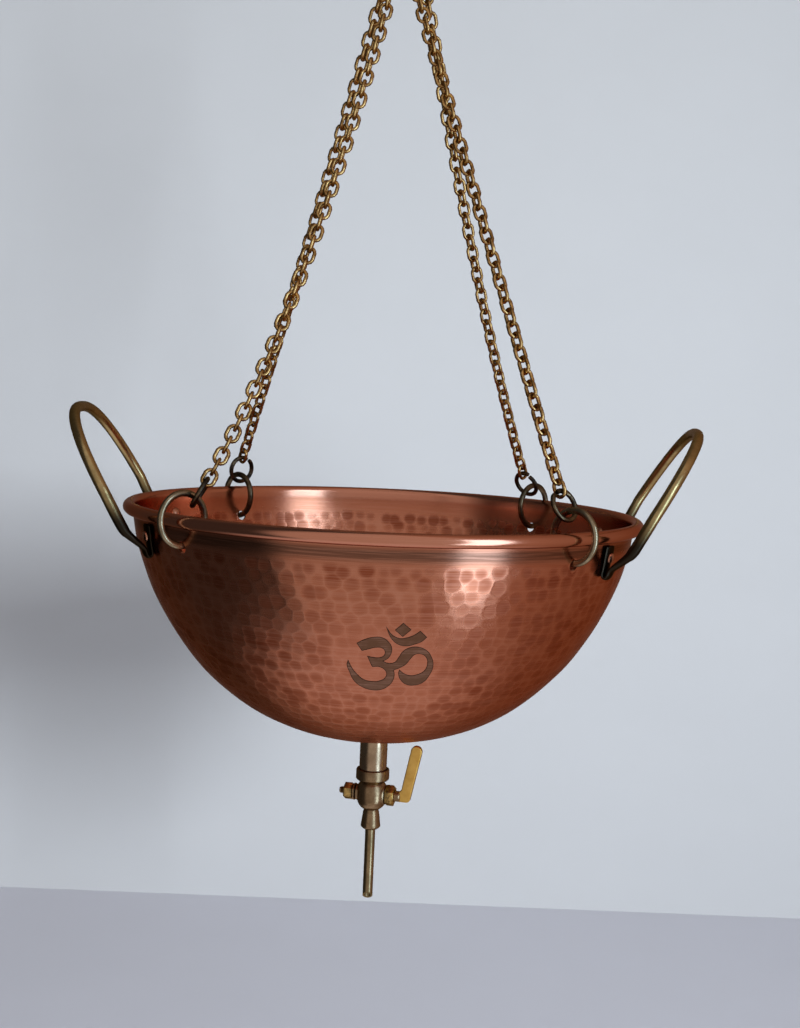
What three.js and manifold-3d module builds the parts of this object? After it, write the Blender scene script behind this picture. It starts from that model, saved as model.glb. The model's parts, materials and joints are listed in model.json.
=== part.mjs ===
// A shirodhara pot: a hammered copper bowl that hangs on four brass chains and lets warm oil run out
// through a small tap and a drip tube. Millimetres, +Z up, the viewer's side is -Y.
// The origin is the inside of the S-hook's upper bend, where the pot hangs on whatever carries it.
import * as THREE from "three";
import { mergeVertices } from "three/addons/utils/BufferGeometryUtils.js";
import Module from "manifold-3d";

const wasm = await Module();
wasm.setup();

// Space between two pieces that touch, and the room that a rivet or a wire has in its hole
const GAP = 0.3;
const RIVET_PLAY = 0.3;
const RING_HOLE_PLAY = 1.1;
const TOP_RING_PLAY = 0.45;

// Bowl, spun from one sheet. Heights of the bowl are measured from the middle of its rolled rim.
const RIM_DIAMETER = 250;
const BOWL_DEPTH = 109.4;
const SHEET = 1.2;
const RIM_WIRE = 2.6;
const ROLL_END = -108;
const SIDE_FULLNESS = 2.39;
const FLOOR_FULLNESS = 1.59;

// Rings that hang in the rim holes, and the cut jump rings between them and the chains
const RIM_RING_WIRE = 3;
const RIM_RING_RADIUS = 11.3;
const JUMP_WIRE = 2.3;
const JUMP_RADIUS = 6.6;
const JUMP_CUT = 12;
const JUMP_SPRUNG = 0.8;
const RIM_JUMP_CUT_AT = 123;
const TOP_RING_CUT_AT = 180;

// Chain of oval links. A link is bent from three-sided bar with its ridge inwards.
const LINK_LENGTH = 8.8;
const LINK_WIDTH = 7.8;
const LINK_WIRE = 1.6;
const LINK_BAR = 1.1;
const LINK_BITE = 0.15;
const RUNS_PER_LEG = 7;

// Gather ring and S-hook. The gather height is that of the ring's lowest wire above the rim.
const GATHER_HEIGHT = 254;
const GATHER_WIRE = 4;
const GATHER_RADIUS = 18;
const HOOK_WIRE = 5;
const HOOK_BEND = 10;
const HOOK_PITCH = 36;
const HOOK_TIP = 35;

// Handles, bent from brass rod whose ends are beaten flat, folded and riveted under the rim
const HANDLE_ROD = 5;
const HANDLE_HALF_WIDTH = 62;
const HANDLE_REACH = 54;
const HANDLE_ROUNDNESS = 2.5;
const HANDLE_LEAN = 30;
const HANDLE_INSET = 5.5;
const HANDLE_DROP = 1.5;
const LEFT_HANDLE_AZIMUTH = 183.5;
const RIGHT_HANDLE_AZIMUTH = 352.2;
const FOOT_AZIMUTH = 26.5;
const PALM_THICKNESS = 2;
const PALM_WIDTH = 8;
const PALM_TOP = 4.2;
const FOLD_DROP = 17.2;
const FOLD_OUT = 2.4;
const FOLD_THICKNESS = 1.8;
const TONGUE_WIDTH = 6;
const TONGUE_THICKNESS = 2.4;
const KNEE_DROP = 5.5;
const KNEE_REACH = 12.3;
const RIVET_DROP = 9.4;
const RIVET_SHANK = 2.8;
const RIVET_HEAD = 6;
const RIVET_HEAD_HEIGHT = 1.7;
const RIVET_TAIL = 4.8;
const RIVET_TAIL_HEIGHT = 1.2;

// Drain pipe and tap. Tap heights are measured from the plug's axis.
const PIPE_DIAMETER = 13.6;
const PIPE_BORE = 9;
const PIPE_REACH = 20.3;
const SOLDER_WIDTH = 2.8;
const SOLDER_HEIGHT = 2.4;
const SOLDER_EDGE = 0.15;
const TAP_TURN = 15;
const COLLAR_DIAMETER = 16.6;
const COLLAR_TOP = 12.8;
const COLLAR_BOTTOM = 6.7;
const SOCKET_FLOOR = 10.4;
const BARREL_RADIUS = 7.5;
const BARREL_HEIGHT = 8.6;
const BARREL_SQUARENESS = 2.8;
const NECK_RADIUS = 3.7;
const CONE_RADIUS = 4.95;
const CONE_BRIM = 14.7;
const CONE_BOTTOM = 17.8;
const WATERWAY = 3.8;
const PLUG_BIG = 3.9;
const PLUG_SMALL = 2.6;
const PLUG_RIGHT = 3.6;
const PLUG_LEFT = -7.7;
const RIGHT_BOSS = 7;
const RIGHT_BOSS_RADIUS = 5.2;
const LEFT_BOSS_RADIUS = 4;
const STEM_RADIUS = 2.6;
const STEM_END = 14.6;
const TAIL_RADIUS = 1.7;
const TAIL_END = -16.6;
const GLAND_ACROSS = 9.2;
const GLAND_LENGTH = 4.2;
const PACKING_LENGTH = 1.3;
const TAIL_NUT_ACROSS = 7.4;
const TAIL_NUT_LENGTH = 4.4;
const WASHER_RADIUS = 4.2;
const WASHER_THICKNESS = 1;
const LEVER_THICKNESS = 2.6;
const LEVER_CHAMFER = 1;
const LEVER_LEG = 5;
const LEVER_CORNER = 17.2;
const LEVER_WIDTH = 5.6;
const LEVER_RISE = 23.6;
const LEVER_LEAN = 11.3;
const TUBE_DIAMETER = 5;
const TUBE_BORE = 3;
const TUBE_SEAT = 4;
const TUBE_END = 54.6;
const TUBE_CUT = 28;

// How finely the round forms are cut
const BOWL_SIDES = 36;
const WALL_ROWS = 7;
const ROLL_ROWS = 6;
const PIPE_SIDES = 14;
const SMALL_SIDES = 10;
const RIM_RING_STEPS = 12;
const RIM_RING_SIDES = 5;
const JUMP_STEPS = 10;
const JUMP_SIDES = 4;
const ROD_SIDES = 6;
const GATHER_STEPS = 20;
const HOLE_SIDES = 8;
const HANDLE_STEPS = 8;
const HOOK_STEPS = 9;
const TIP_STEPS = 6;

// Each leg: where its hole is, how far that lies under the rim, how its ring and jump ring stand
// (degrees from upright, inwards counted up), how far its chain sags, where it hangs on the gather
// ring and how far its top ring is fanned out there.
const FRONT_LEFT = {
  name: "front_left", azimuth: 224, hole: 11.4, lean: -6.5, pull: 37, turn: -35, sag: 20.7,
  hangs: -3, fan: 0,
};
const FRONT_RIGHT = {
  name: "front_right", azimuth: 313.3, hole: 11.4, lean: -3.5, pull: 25.5, turn: 0, sag: 0.3,
  hangs: 2, fan: 0,
};
const BACK_LEFT = {
  name: "back_left", azimuth: 132, hole: 13, lean: -20, pull: 8, turn: 0, sag: 1.7,
  hangs: -8.4, fan: 14,
};
const BACK_RIGHT = {
  name: "back_right", azimuth: 46.3, hole: 12.4, lean: -9, pull: 30.5, turn: 0, sag: 11.8,
  hangs: 6.2, fan: -12,
};
const LEGS = [FRONT_LEFT, FRONT_RIGHT, BACK_LEFT, BACK_RIGHT];

// Sizes that follow from the ones above
const ROLL_STEP = (180 - ROLL_END) / ROLL_ROWS;
const ROLL_RADIUS = (RIM_WIRE / 2 + GAP + SHEET / 2) / cosine(ROLL_STEP / 2);
const ROLL_CENTRE = RIM_DIAMETER / 2 - ROLL_RADIUS - SHEET / 2;
const WALL_RADIUS = ROLL_CENTRE - ROLL_RADIUS;
const WALL_DEPTH = BOWL_DEPTH - SHEET / 2;
const PIPE_RADIUS = PIPE_DIAMETER / 2;
const JUMP_INNER = JUMP_RADIUS * cosine((360 - JUMP_CUT) / JUMP_STEPS / 2) - JUMP_WIRE / 2;
const RIM_RING_SEAT = RIM_RING_RADIUS * cosine(180 / RIM_RING_STEPS);
const GATHER_SEAT = GATHER_RADIUS * cosine(180 / GATHER_STEPS);
const LINK_HALF_SEAT = LINK_LENGTH / 2 - LINK_WIRE;
const GATHER_CENTRE = GATHER_HEIGHT + GATHER_RADIUS;
const HOOK_LOW = GATHER_CENTRE + GATHER_RADIUS - GATHER_WIRE / 2 - GAP - HOOK_WIRE / 2 + HOOK_BEND;
const RIVET_STAND = GAP + (RIVET_HEAD / 2) * Math.tan(Math.PI / BOWL_SIDES);
const HANG_HEIGHT = HOOK_LOW + HOOK_PITCH + HOOK_BEND - HOOK_WIRE / 2;
const TAP_HEIGHT = -(BOWL_DEPTH + PIPE_REACH + GAP + SOCKET_FLOOR);

const X = new THREE.Vector3(1, 0, 0);
const Z = new THREE.Vector3(0, 0, 1);

const copper = finish(0xb4653f, 0.34, 1);
const wire = finish(0x8a5a40, 0.45, 1);
const darkBrass = finish(0x6b5a3e, 0.42, 1);
const blackened = finish(0x2f2b26, 0.5, 1);
const chainBrass = finish(0x9c7a35, 0.38, 1);
const oldBrass = finish(0x7d6535, 0.4, 1);
const yellowBrass = finish(0xc79a2e, 0.32, 1);
const solder = finish(0x7c5a44, 0.6, 0.8);
const packing = finish(0xd9d4c4, 0.9, 0);

function finish(color, roughness, metalness) {
  return new THREE.MeshStandardMaterial({ color, roughness, metalness });
}

function radians(degrees) {
  return THREE.MathUtils.degToRad(degrees);
}

function cosine(degrees) {
  return Math.cos(radians(degrees));
}

// A point given by its azimuth round the bowl, its distance from the axis and its height
function around(azimuth, distance, height) {
  const a = radians(azimuth);
  return new THREE.Vector3(distance * Math.cos(a), distance * Math.sin(a), height);
}

// A direction in the upright plane of an azimuth, leaning inwards from upright
function leaning(azimuth, degrees) {
  return around(azimuth, -Math.sin(radians(degrees)), Math.cos(radians(degrees)));
}

function solidOf(geometry) {
  const bare = geometry.clone();
  bare.deleteAttribute("normal");
  bare.deleteAttribute("uv");
  const merged = mergeVertices(bare, 1e-4);
  const vertProperties = merged.attributes.position.array;
  const triVerts = new Uint32Array(merged.index.array);
  return new wasm.Manifold(new wasm.Mesh({ numProp: 3, vertProperties, triVerts }));
}

function geometryOf(solid) {
  const mesh = solid.getMesh();
  const geometry = new THREE.BufferGeometry();
  geometry.setAttribute("position", new THREE.BufferAttribute(new Float32Array(mesh.vertProperties), 3));
  geometry.setIndex(new THREE.BufferAttribute(new Uint32Array(mesh.triVerts), 1));
  geometry.computeVertexNormals();
  return geometry;
}

function cut(geometry, tools) {
  const solid = tools.map(solidOf).reduce((left, tool) => left.subtract(tool), solidOf(geometry));
  return geometryOf(solid);
}

function join(geometries) {
  const solid = geometries.map(solidOf).reduce((all, one) => all.add(one));
  return geometryOf(solid);
}

// A closed outline of [radius, height] points, counter-clockwise, turned about Z
function turned(outline, sides) {
  const points = [...outline, outline[0]].map(([radius, height]) => new THREE.Vector2(radius, height));
  return new THREE.LatheGeometry(points, sides).rotateX(Math.PI / 2);
}

// A solid that starts and ends on the axis, from its lowest point up
function turnedSolid(outline, sides) {
  const points = outline.map(([radius, height]) => new THREE.Vector2(radius, height));
  return new THREE.LatheGeometry(points, sides).rotateX(Math.PI / 2);
}

function rod(radius, from, to, sides) {
  return turnedSolid([[0, from], [radius, from], [radius, to], [0, to]], sides);
}

function sleeve(inner, outer, from, to, sides) {
  return turned([[inner, from], [outer, from], [outer, to], [inner, to]], sides);
}

function polygon(radius, sides) {
  const corners = Array.from({ length: sides }, (_, i) => (2 * Math.PI * i) / sides);
  return new THREE.Shape(corners.map((a) => new THREE.Vector2(radius * Math.cos(a), radius * Math.sin(a))));
}

function sweep(section, path, steps) {
  const options = { steps, bevelEnabled: false, extrudePath: path };
  return new THREE.ExtrudeGeometry(section, options);
}

// A curve given by a function of its parameter, from 0 to 1
class Line extends THREE.Curve {
  constructor(at) {
    super();
    this.at = at;
  }

  getPoint(t) {
    return this.at(t);
  }
}

function addMesh(parent, name, geometry, material) {
  const mesh = new THREE.Mesh(geometry, material);
  mesh.name = name;
  parent.add(mesh);
  return mesh;
}

// Turns a mesh so that its own X and Y lie along two square directions
function orient(mesh, position, xAxis, yAxis) {
  const zAxis = new THREE.Vector3().crossVectors(xAxis, yAxis);
  mesh.quaternion.setFromRotationMatrix(new THREE.Matrix4().makeBasis(xAxis, yAxis, zAxis));
  mesh.position.copy(position);
  return mesh;
}

// The part of a direction that is square to another, as a unit vector
function squareTo(direction, axis) {
  return direction.clone().addScaledVector(axis, -direction.dot(axis)).normalize();
}

// Bowl: the middle of the sheet follows a superellipse from the drain hole up to the rim
function wallLine() {
  const holeRadius = PIPE_RADIUS + GAP;
  const first = Math.asin((holeRadius / WALL_RADIUS) ** (SIDE_FULLNESS / 2));
  return Array.from({ length: WALL_ROWS + 1 }, (_, i) => {
    const angle = THREE.MathUtils.lerp(first, Math.PI / 2, i / WALL_ROWS);
    const radius = WALL_RADIUS * Math.sin(angle) ** (2 / SIDE_FULLNESS);
    const height = -WALL_DEPTH * Math.cos(angle) ** (2 / FLOOR_FULLNESS);
    return new THREE.Vector2(radius, height);
  });
}

// The radius of the sheet's middle at a depth under the rim
function wallRadius(drop) {
  const line = wallLine();
  const upper = Math.max(line.findIndex((point) => point.y > -drop), 1);
  const below = line[upper - 1];
  const share = (-drop - below.y) / (line[upper].y - below.y);
  return THREE.MathUtils.lerp(below.x, line[upper].x, share);
}

// How far the wall leans inwards at a depth, in radians
function wallLean(drop) {
  return Math.atan((wallRadius(drop - 1) - wallRadius(drop + 1)) / 2);
}

// The bowl is cut in flats, and this is a flat's distance from the axis at an azimuth
function flatRadius(azimuth, drop) {
  const step = 360 / BOWL_SIDES;
  const fromMiddle = THREE.MathUtils.euclideanModulo(azimuth, step) - step / 2;
  return (wallRadius(drop) * cosine(step / 2)) / cosine(fromMiddle);
}

// The whole sheet: the wall, then the roll that goes outwards over the rim wire
function sheetLine() {
  const line = wallLine();
  for (let i = 1; i <= ROLL_ROWS; i += 1) {
    const angle = radians(THREE.MathUtils.lerp(180, ROLL_END, i / ROLL_ROWS));
    const roll = new THREE.Vector2(Math.cos(angle), Math.sin(angle)).multiplyScalar(ROLL_RADIUS);
    line.push(roll.add(new THREE.Vector2(ROLL_CENTRE, 0)));
  }
  return line;
}

// Both faces of a sheet whose middle is given, as one closed outline
function thicken(line, thickness) {
  const side = (i, offset) => {
    const along = line[Math.min(i + 1, line.length - 1)].clone().sub(line[Math.max(i - 1, 0)]).normalize();
    return [line[i].x + offset * along.y, line[i].y - offset * along.x];
  };
  const outer = line.map((_, i) => side(i, thickness / 2));
  const inner = line.map((_, i) => side(i, -thickness / 2));
  return [...outer, ...inner.reverse()];
}

// A cutter through the wall at a depth, square to the sheet
function wallCutter(azimuth, drop, diameter) {
  const lean = wallLean(drop);
  const reach = 4 * SHEET;
  return rod(diameter / 2 / cosine(180 / HOLE_SIDES), -reach, reach, HOLE_SIDES)
    .rotateY(Math.PI / 2 + lean)
    .rotateZ(radians(azimuth))
    .translate(...around(azimuth, wallRadius(drop), -drop));
}

function footAzimuths(centre) {
  return [centre - FOOT_AZIMUTH, centre + FOOT_AZIMUTH];
}

function bowl() {
  const rings = LEGS.map((leg) =>
    wallCutter(leg.azimuth, leg.hole, RIM_RING_WIRE + 2 * RING_HOLE_PLAY));
  const feet = [...footAzimuths(LEFT_HANDLE_AZIMUTH), ...footAzimuths(RIGHT_HANDLE_AZIMUTH)];
  const rivets = feet.map((azimuth) => wallCutter(azimuth, RIVET_DROP, RIVET_SHANK + 2 * RIVET_PLAY));
  return cut(turned(thicken(sheetLine(), SHEET), BOWL_SIDES), [...rings, ...rivets]);
}

function rimWire() {
  const corners = [0, 90, 180, 270].map(radians);
  const half = RIM_WIRE / 2;
  const outline = corners.map((a) => [ROLL_CENTRE + half * Math.cos(a), half * Math.sin(a)]);
  return turned(outline, BOWL_SIDES);
}

// Handle: stations along the bar, each with its middle, the direction across it and its two sizes.
// The handle's own X points out of the bowl through the middle of the handle.
function handleLoop() {
  const base = RIM_DIAMETER / 2 - HANDLE_INSET;
  const lean = radians(HANDLE_LEAN);
  const power = 2 / HANDLE_ROUNDNESS;
  const stations = [];
  for (let i = 0; i < HANDLE_STEPS; i += 1) {
    const angle = (Math.PI / 2) * (i / HANDLE_STEPS);
    const out = HANDLE_REACH * Math.cos(angle) ** power;
    const y = HANDLE_HALF_WIDTH * Math.sin(angle) ** power;
    const middle = new THREE.Vector3(base + out * Math.sin(lean), y, out * Math.cos(lean) - HANDLE_DROP);
    const upOut = new THREE.Vector3(Math.sin(lean), 0, Math.cos(lean));
    const across = upOut.multiplyScalar(Math.cos(angle) / HANDLE_REACH);
    across.y = Math.sin(angle) / HANDLE_HALF_WIDTH;
    stations.push({ middle, across: across.normalize(), width: HANDLE_ROD, thickness: HANDLE_ROD });
  }
  return stations;
}

// The foot comes down from the knee as a thinning tongue, folds back up and lies on the wall
function handleFoot() {
  const outside = (drop) => wallRadius(drop) + SHEET / 2;
  const palm = (drop) => outside(drop) + GAP + PALM_THICKNESS / 2;
  const across = around(FOOT_AZIMUTH + 90, 1, 0);
  const station = (distance, drop, width, thickness) =>
    ({ middle: around(FOOT_AZIMUTH, distance, -drop), across, width, thickness });
  const knee = outside(KNEE_DROP);
  const fold = palm(FOLD_DROP);
  const beforeFold = 0.85 * FOLD_DROP;
  const overFold = FOLD_DROP + FOLD_OUT / 6;
  const afterFold = 0.8 * FOLD_DROP;
  const halfway = (TONGUE_WIDTH + PALM_WIDTH) / 2;
  return [
    station(knee + KNEE_REACH, KNEE_DROP, HANDLE_ROD, HANDLE_ROD),
    station(knee + 0.72 * KNEE_REACH, 0.55 * FOLD_DROP, TONGUE_WIDTH, 1.5 * TONGUE_THICKNESS),
    station(fold + 1.6 * FOLD_OUT, beforeFold, TONGUE_WIDTH, TONGUE_THICKNESS),
    station(fold + FOLD_OUT, overFold, TONGUE_WIDTH, FOLD_THICKNESS),
    station(fold + FOLD_OUT / 2, FOLD_DROP + (2 * FOLD_OUT) / 3, TONGUE_WIDTH, FOLD_THICKNESS),
    station(fold, overFold, TONGUE_WIDTH, FOLD_THICKNESS),
    station(palm(afterFold), afterFold, halfway, PALM_THICKNESS),
    station(palm(RIVET_DROP), RIVET_DROP, PALM_WIDTH, PALM_THICKNESS),
    station(palm(PALM_TOP), PALM_TOP, PALM_WIDTH, PALM_THICKNESS),
  ];
}

function mirrored({ middle, across, width, thickness }) {
  const flip = new THREE.Vector3(1, -1, 1);
  return { middle: middle.clone().multiply(flip), across: across.clone().multiply(flip), width, thickness };
}

// A closed skin over stations, whose section has its corners on an ellipse
function loft(stations, sides) {
  const positions = [];
  const index = [];
  stations.forEach(({ middle, across, width, thickness }, i) => {
    const before = stations[Math.max(i - 1, 0)].middle;
    const after = stations[Math.min(i + 1, stations.length - 1)].middle;
    const along = after.clone().sub(before).normalize();
    const wide = squareTo(across, along);
    const thick = new THREE.Vector3().crossVectors(along, wide);
    for (let j = 0; j < sides; j += 1) {
      const a = (2 * Math.PI * j) / sides;
      const corner = middle.clone().addScaledVector(wide, (width / 2) * Math.cos(a));
      positions.push(...corner.addScaledVector(thick, (thickness / 2) * Math.sin(a)));
    }
  });
  for (let i = 0; i + 1 < stations.length; i += 1) {
    for (let j = 0; j < sides; j += 1) {
      const a = i * sides + j;
      const b = i * sides + ((j + 1) % sides);
      index.push(a, b, b + sides, a, b + sides, a + sides);
    }
  }
  const last = (stations.length - 1) * sides;
  for (let j = 1; j + 1 < sides; j += 1) {
    index.push(0, j + 1, j);
    index.push(last, last + j, last + j + 1);
  }
  const geometry = new THREE.BufferGeometry();
  geometry.setAttribute("position", new THREE.Float32BufferAttribute(positions, 3));
  geometry.setIndex(index);
  geometry.computeVertexNormals();
  return geometry;
}

function handle() {
  const half = [...handleLoop(), ...handleFoot()];
  const other = half.slice(1).map(mirrored).reverse();
  const holes = [-FOOT_AZIMUTH, FOOT_AZIMUTH].map((azimuth) =>
    wallCutter(azimuth, RIVET_DROP, RIVET_SHANK + 2 * RIVET_PLAY));
  return cut(loft(unroll([...other, ...half]), ROD_SIDES), holes);
}

// Keeps the direction across the bar from flipping between one station and the next
function unroll(stations) {
  let before = stations[0].across;
  return stations.map((station) => {
    const across = station.across.clone().multiplyScalar(Math.sign(station.across.dot(before)));
    before = across;
    return { ...station, across };
  });
}

// Rivet: a domed head inside the bowl, a shank through sheet and palm, a hammered tail outside.
// Its own Z points out of the bowl, from the middle of the sheet. The palm stands off a flat of the
// bowl by the slack.
function rivet(slack) {
  const inner = -(SHEET / 2 + RIVET_STAND);
  const outer = SHEET / 2 + slack + GAP + PALM_THICKNESS + GAP;
  const shank = RIVET_SHANK / 2;
  const head = RIVET_HEAD / 2;
  const tail = RIVET_TAIL / 2;
  return turnedSolid([
    [0, inner - RIVET_HEAD_HEIGHT],
    [0.6 * head, inner - 0.8 * RIVET_HEAD_HEIGHT],
    [head, inner],
    [shank, inner],
    [shank, outer],
    [tail, outer],
    [0.7 * tail, outer + 0.8 * RIVET_TAIL_HEIGHT],
    [0, outer + RIVET_TAIL_HEIGHT],
  ], HOLE_SIDES);
}

function addRivet(parent, name, azimuth) {
  const distance = flatRadius(azimuth, RIVET_DROP);
  const mesh = addMesh(parent, name, rivet(wallRadius(RIVET_DROP) - distance), oldBrass);
  mesh.position.copy(around(azimuth, distance, -RIVET_DROP));
  mesh.rotation.set(0, Math.PI / 2 + wallLean(RIVET_DROP), radians(azimuth), "ZYX");
}

function addHandle(parent, side, azimuth) {
  const mesh = addMesh(parent, `${side}_handle`, handle(), oldBrass);
  mesh.rotation.z = radians(azimuth);
  footAzimuths(azimuth).forEach((foot, i) => addRivet(parent, `${side}_handle_rivet_${i + 1}`, foot));
}

// Jump ring: wire bent round and cut, its two ends sprung a little past each other. It lies in its own
// XY plane, and the cut is given by its angle there.
function jumpRing(cutAngle) {
  const start = radians(cutAngle + JUMP_CUT / 2);
  const arc = radians(360 - JUMP_CUT);
  const path = new Line((t) => {
    const a = start + t * arc;
    return new THREE.Vector3(JUMP_RADIUS * Math.cos(a), JUMP_RADIUS * Math.sin(a), JUMP_SPRUNG * (t - 0.5));
  });
  return sweep(polygon(JUMP_WIRE / 2, JUMP_SIDES), path, JUMP_STEPS);
}

function rimRing() {
  return new THREE.TorusGeometry(RIM_RING_RADIUS, RIM_RING_WIRE / 2, RIM_RING_SIDES, RIM_RING_STEPS);
}

// Ring in the rim hole: it lies in the upright plane of its azimuth and is drawn up against the
// hole's upper edge. The jump ring stands on it where the chain pulls.
function addRimRings(parent, leg) {
  const slope = (SHEET / 2) * Math.abs(Math.tan(radians(leg.lean)));
  const height = -leg.hole + RING_HOLE_PLAY - GAP - slope;
  const seat = around(leg.azimuth, flatRadius(leg.azimuth, leg.hole), height);
  const centre = seat.addScaledVector(leaning(leg.azimuth, leg.lean), RIM_RING_RADIUS);
  const ring = addMesh(parent, `${leg.name}_rim_ring`, rimRing(), darkBrass);
  orient(ring, centre, around(leg.azimuth, -1, 0), Z);

  const pull = leaning(leg.azimuth, leg.pull);
  const reach = RIM_RING_SEAT + JUMP_INNER - RIM_RING_WIRE / 2 - GAP;
  const jumpCentre = centre.clone().addScaledVector(pull, reach);
  const sideways = around(leg.azimuth + 90, 1, 0).applyAxisAngle(pull, radians(leg.turn));
  const jump = addMesh(parent, `${leg.name}_jump_ring`, jumpRing(RIM_JUMP_CUT_AT), blackened);
  orient(jump, jumpCentre, sideways, pull);
  return { centre: jumpCentre, pull, sideways };
}

// Ring at the chain's upper end, which hangs on the gather ring
function addTopRing(parent, leg, below) {
  const angle = Math.asin(leg.hangs / GATHER_SEAT);
  const seat = new THREE.Vector3(leg.hangs, 0, GATHER_CENTRE - GATHER_SEAT * Math.cos(angle));
  const pull = below.centre.clone().sub(seat);
  pull.z += 4 * leg.sag;
  pull.normalize();
  const centre = seat.addScaledVector(pull, JUMP_INNER - GATHER_WIRE / 2 - TOP_RING_PLAY);
  const normal = squareTo(X, pull).applyAxisAngle(pull, radians(leg.fan));
  const sideways = new THREE.Vector3().crossVectors(pull, normal);
  const ring = addMesh(parent, `${leg.name}_top_ring`, jumpRing(TOP_RING_CUT_AT), darkBrass);
  orient(ring, centre, sideways, pull);
  return { centre, pull, sideways };
}

// Chain link in its own XY plane, long along Y: a ring whose two halves are drawn apart
function link() {
  const radius = LINK_WIDTH / 2 - LINK_BAR / 2;
  const steps = 6;
  const geometry = new THREE.TorusGeometry(radius, LINK_BAR, 3, steps);
  const position = geometry.attributes.position;
  const drawn = LINK_HALF_SEAT - (radius - LINK_BAR) * Math.cos(Math.PI / steps);
  const flattened = LINK_WIRE / (Math.sqrt(3) * LINK_BAR);
  for (let i = 0; i < position.count; i += 1) {
    const point = new THREE.Vector2(position.getX(i), position.getY(i));
    const turnedIn = point.clone().setLength(2 * radius).sub(point);
    const pull = Math.abs(turnedIn.y) < 0.01 ? 0 : Math.sign(turnedIn.y) * drawn;
    position.setXYZ(i, turnedIn.x, turnedIn.y + pull, -flattened * position.getZ(i));
  }
  return geometry;
}

// The line of a chain's link centres, from the ring in the rim up to the ring at the top
function chainLine(leg, low, high) {
  const reach = JUMP_INNER - GAP + LINK_HALF_SEAT;
  const start = low.centre.clone().addScaledVector(low.pull, reach);
  const end = high.centre.clone().addScaledVector(high.pull, reach);
  const line = new Line((t) => {
    const point = start.clone().lerp(end, t);
    point.z -= 4 * leg.sag * t * (1 - t);
    return point;
  });
  line.arcLengthDivisions = 400;
  return line;
}

// How many links fill a line, and how far apart their centres are. Inside a run each link bites a
// little into the next one's crown, as brazed links do; between two runs there is a gap.
function spacing(length) {
  const loose = 2 * LINK_HALF_SEAT - GAP;
  const looseCount = RUNS_PER_LEG - 1;
  const rest = length - looseCount * loose;
  const tightCount = Math.round(rest / (2 * LINK_HALF_SEAT + LINK_BITE));
  return { loose, tight: rest / tightCount, count: looseCount + tightCount + 1 };
}

// Placement of every link on a leg: alternate links stand square to each other, and the small
// twist that is left is spread along the chain
function linkPlaces(line, low, high) {
  const length = line.getLength();
  const { loose, tight, count } = spacing(length);
  const runOf = (i) => Math.floor((i * RUNS_PER_LEG) / count);
  const across = (tangent, angle) => squareTo(low.sideways, tangent).applyAxisAngle(tangent, angle);
  const lastTangent = line.getTangentAt(1);
  const first = across(lastTangent, 0);
  const wanted = squareTo(high.sideways, lastTangent);
  const turning = new THREE.Vector3().crossVectors(first, wanted).dot(lastTangent);
  const angle = Math.atan2(turning, first.dot(wanted));
  const quarter = Math.PI / 2;
  const left = angle - (count - 1) * quarter;
  const twist = left - Math.PI * Math.round(left / Math.PI);
  const places = [];
  let distance = 0;
  for (let i = 0; i < count; i += 1) {
    const t = Math.min(distance / length, 1);
    const tangent = line.getTangentAt(t);
    const normal = across(tangent, i * quarter + (twist * i) / (count - 1));
    places.push({ run: runOf(i), centre: line.getPointAt(t), tangent, normal });
    distance += runOf(i + 1) === runOf(i) ? tight : loose;
  }
  return places;
}

// One run of links, whose own origin is its first link's centre
function runGeometry(places) {
  const origin = places[0].centre;
  const links = places.map(({ centre, tangent, normal }) => {
    const side = new THREE.Vector3().crossVectors(tangent, normal);
    const matrix = new THREE.Matrix4().makeBasis(side, tangent, normal);
    return link().applyMatrix4(matrix.setPosition(centre.clone().sub(origin)));
  });
  return join(links);
}

function addChain(parent, leg, low, high) {
  const places = linkPlaces(chainLine(leg, low, high), low, high);
  for (let run = 0; run < RUNS_PER_LEG; run += 1) {
    const own = places.filter((place) => place.run === run);
    const mesh = addMesh(parent, `${leg.name}_chain_${run + 1}`, runGeometry(own), chainBrass);
    mesh.position.copy(own[0].centre);
  }
}

function addLeg(parent, leg) {
  const low = addRimRings(parent, leg);
  const high = addTopRing(parent, leg, low);
  addChain(parent, leg, low, high);
}

function gatherRing() {
  const ring = new THREE.TorusGeometry(GATHER_RADIUS, GATHER_WIRE / 2, ROD_SIDES, GATHER_STEPS);
  return ring.rotateX(Math.PI / 2);
}

// S-hook in the YZ plane: two bends joined by the straight line that touches both
function hook() {
  const slope = Math.asin((2 * HOOK_BEND) / HOOK_PITCH);
  const lowCentre = new THREE.Vector3(0, 0, -HOOK_PITCH / 2);
  const bend = (centre, sign) => (a) =>
    new THREE.Vector3(0, Math.cos(a), Math.sin(a)).multiplyScalar(sign * HOOK_BEND).add(centre);
  const low = bend(lowCentre, 1);
  const high = bend(lowCentre.clone().negate(), -1);
  const tip = radians(HOOK_TIP);
  const touch = -Math.PI - slope;
  const turn = (i) => THREE.MathUtils.lerp(tip, touch, i / HOOK_STEPS);
  const angles = Array.from({ length: HOOK_STEPS + 1 }, (_, i) => turn(i));
  const points = [...angles.map(low), ...angles.reverse().map(high)];
  const path = new THREE.CatmullRomCurve3(points, false, "centripetal");
  return sweep(polygon(HOOK_WIRE / 2, ROD_SIDES), path, 2 * HOOK_STEPS + 4);
}

// Drain pipe, soldered into the bowl's floor and pushed into the tap's collar
function drainPipe() {
  const top = -(BOWL_DEPTH - SHEET);
  return sleeve(PIPE_BORE / 2, PIPE_RADIUS, -(BOWL_DEPTH + PIPE_REACH), top, PIPE_SIDES);
}

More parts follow.
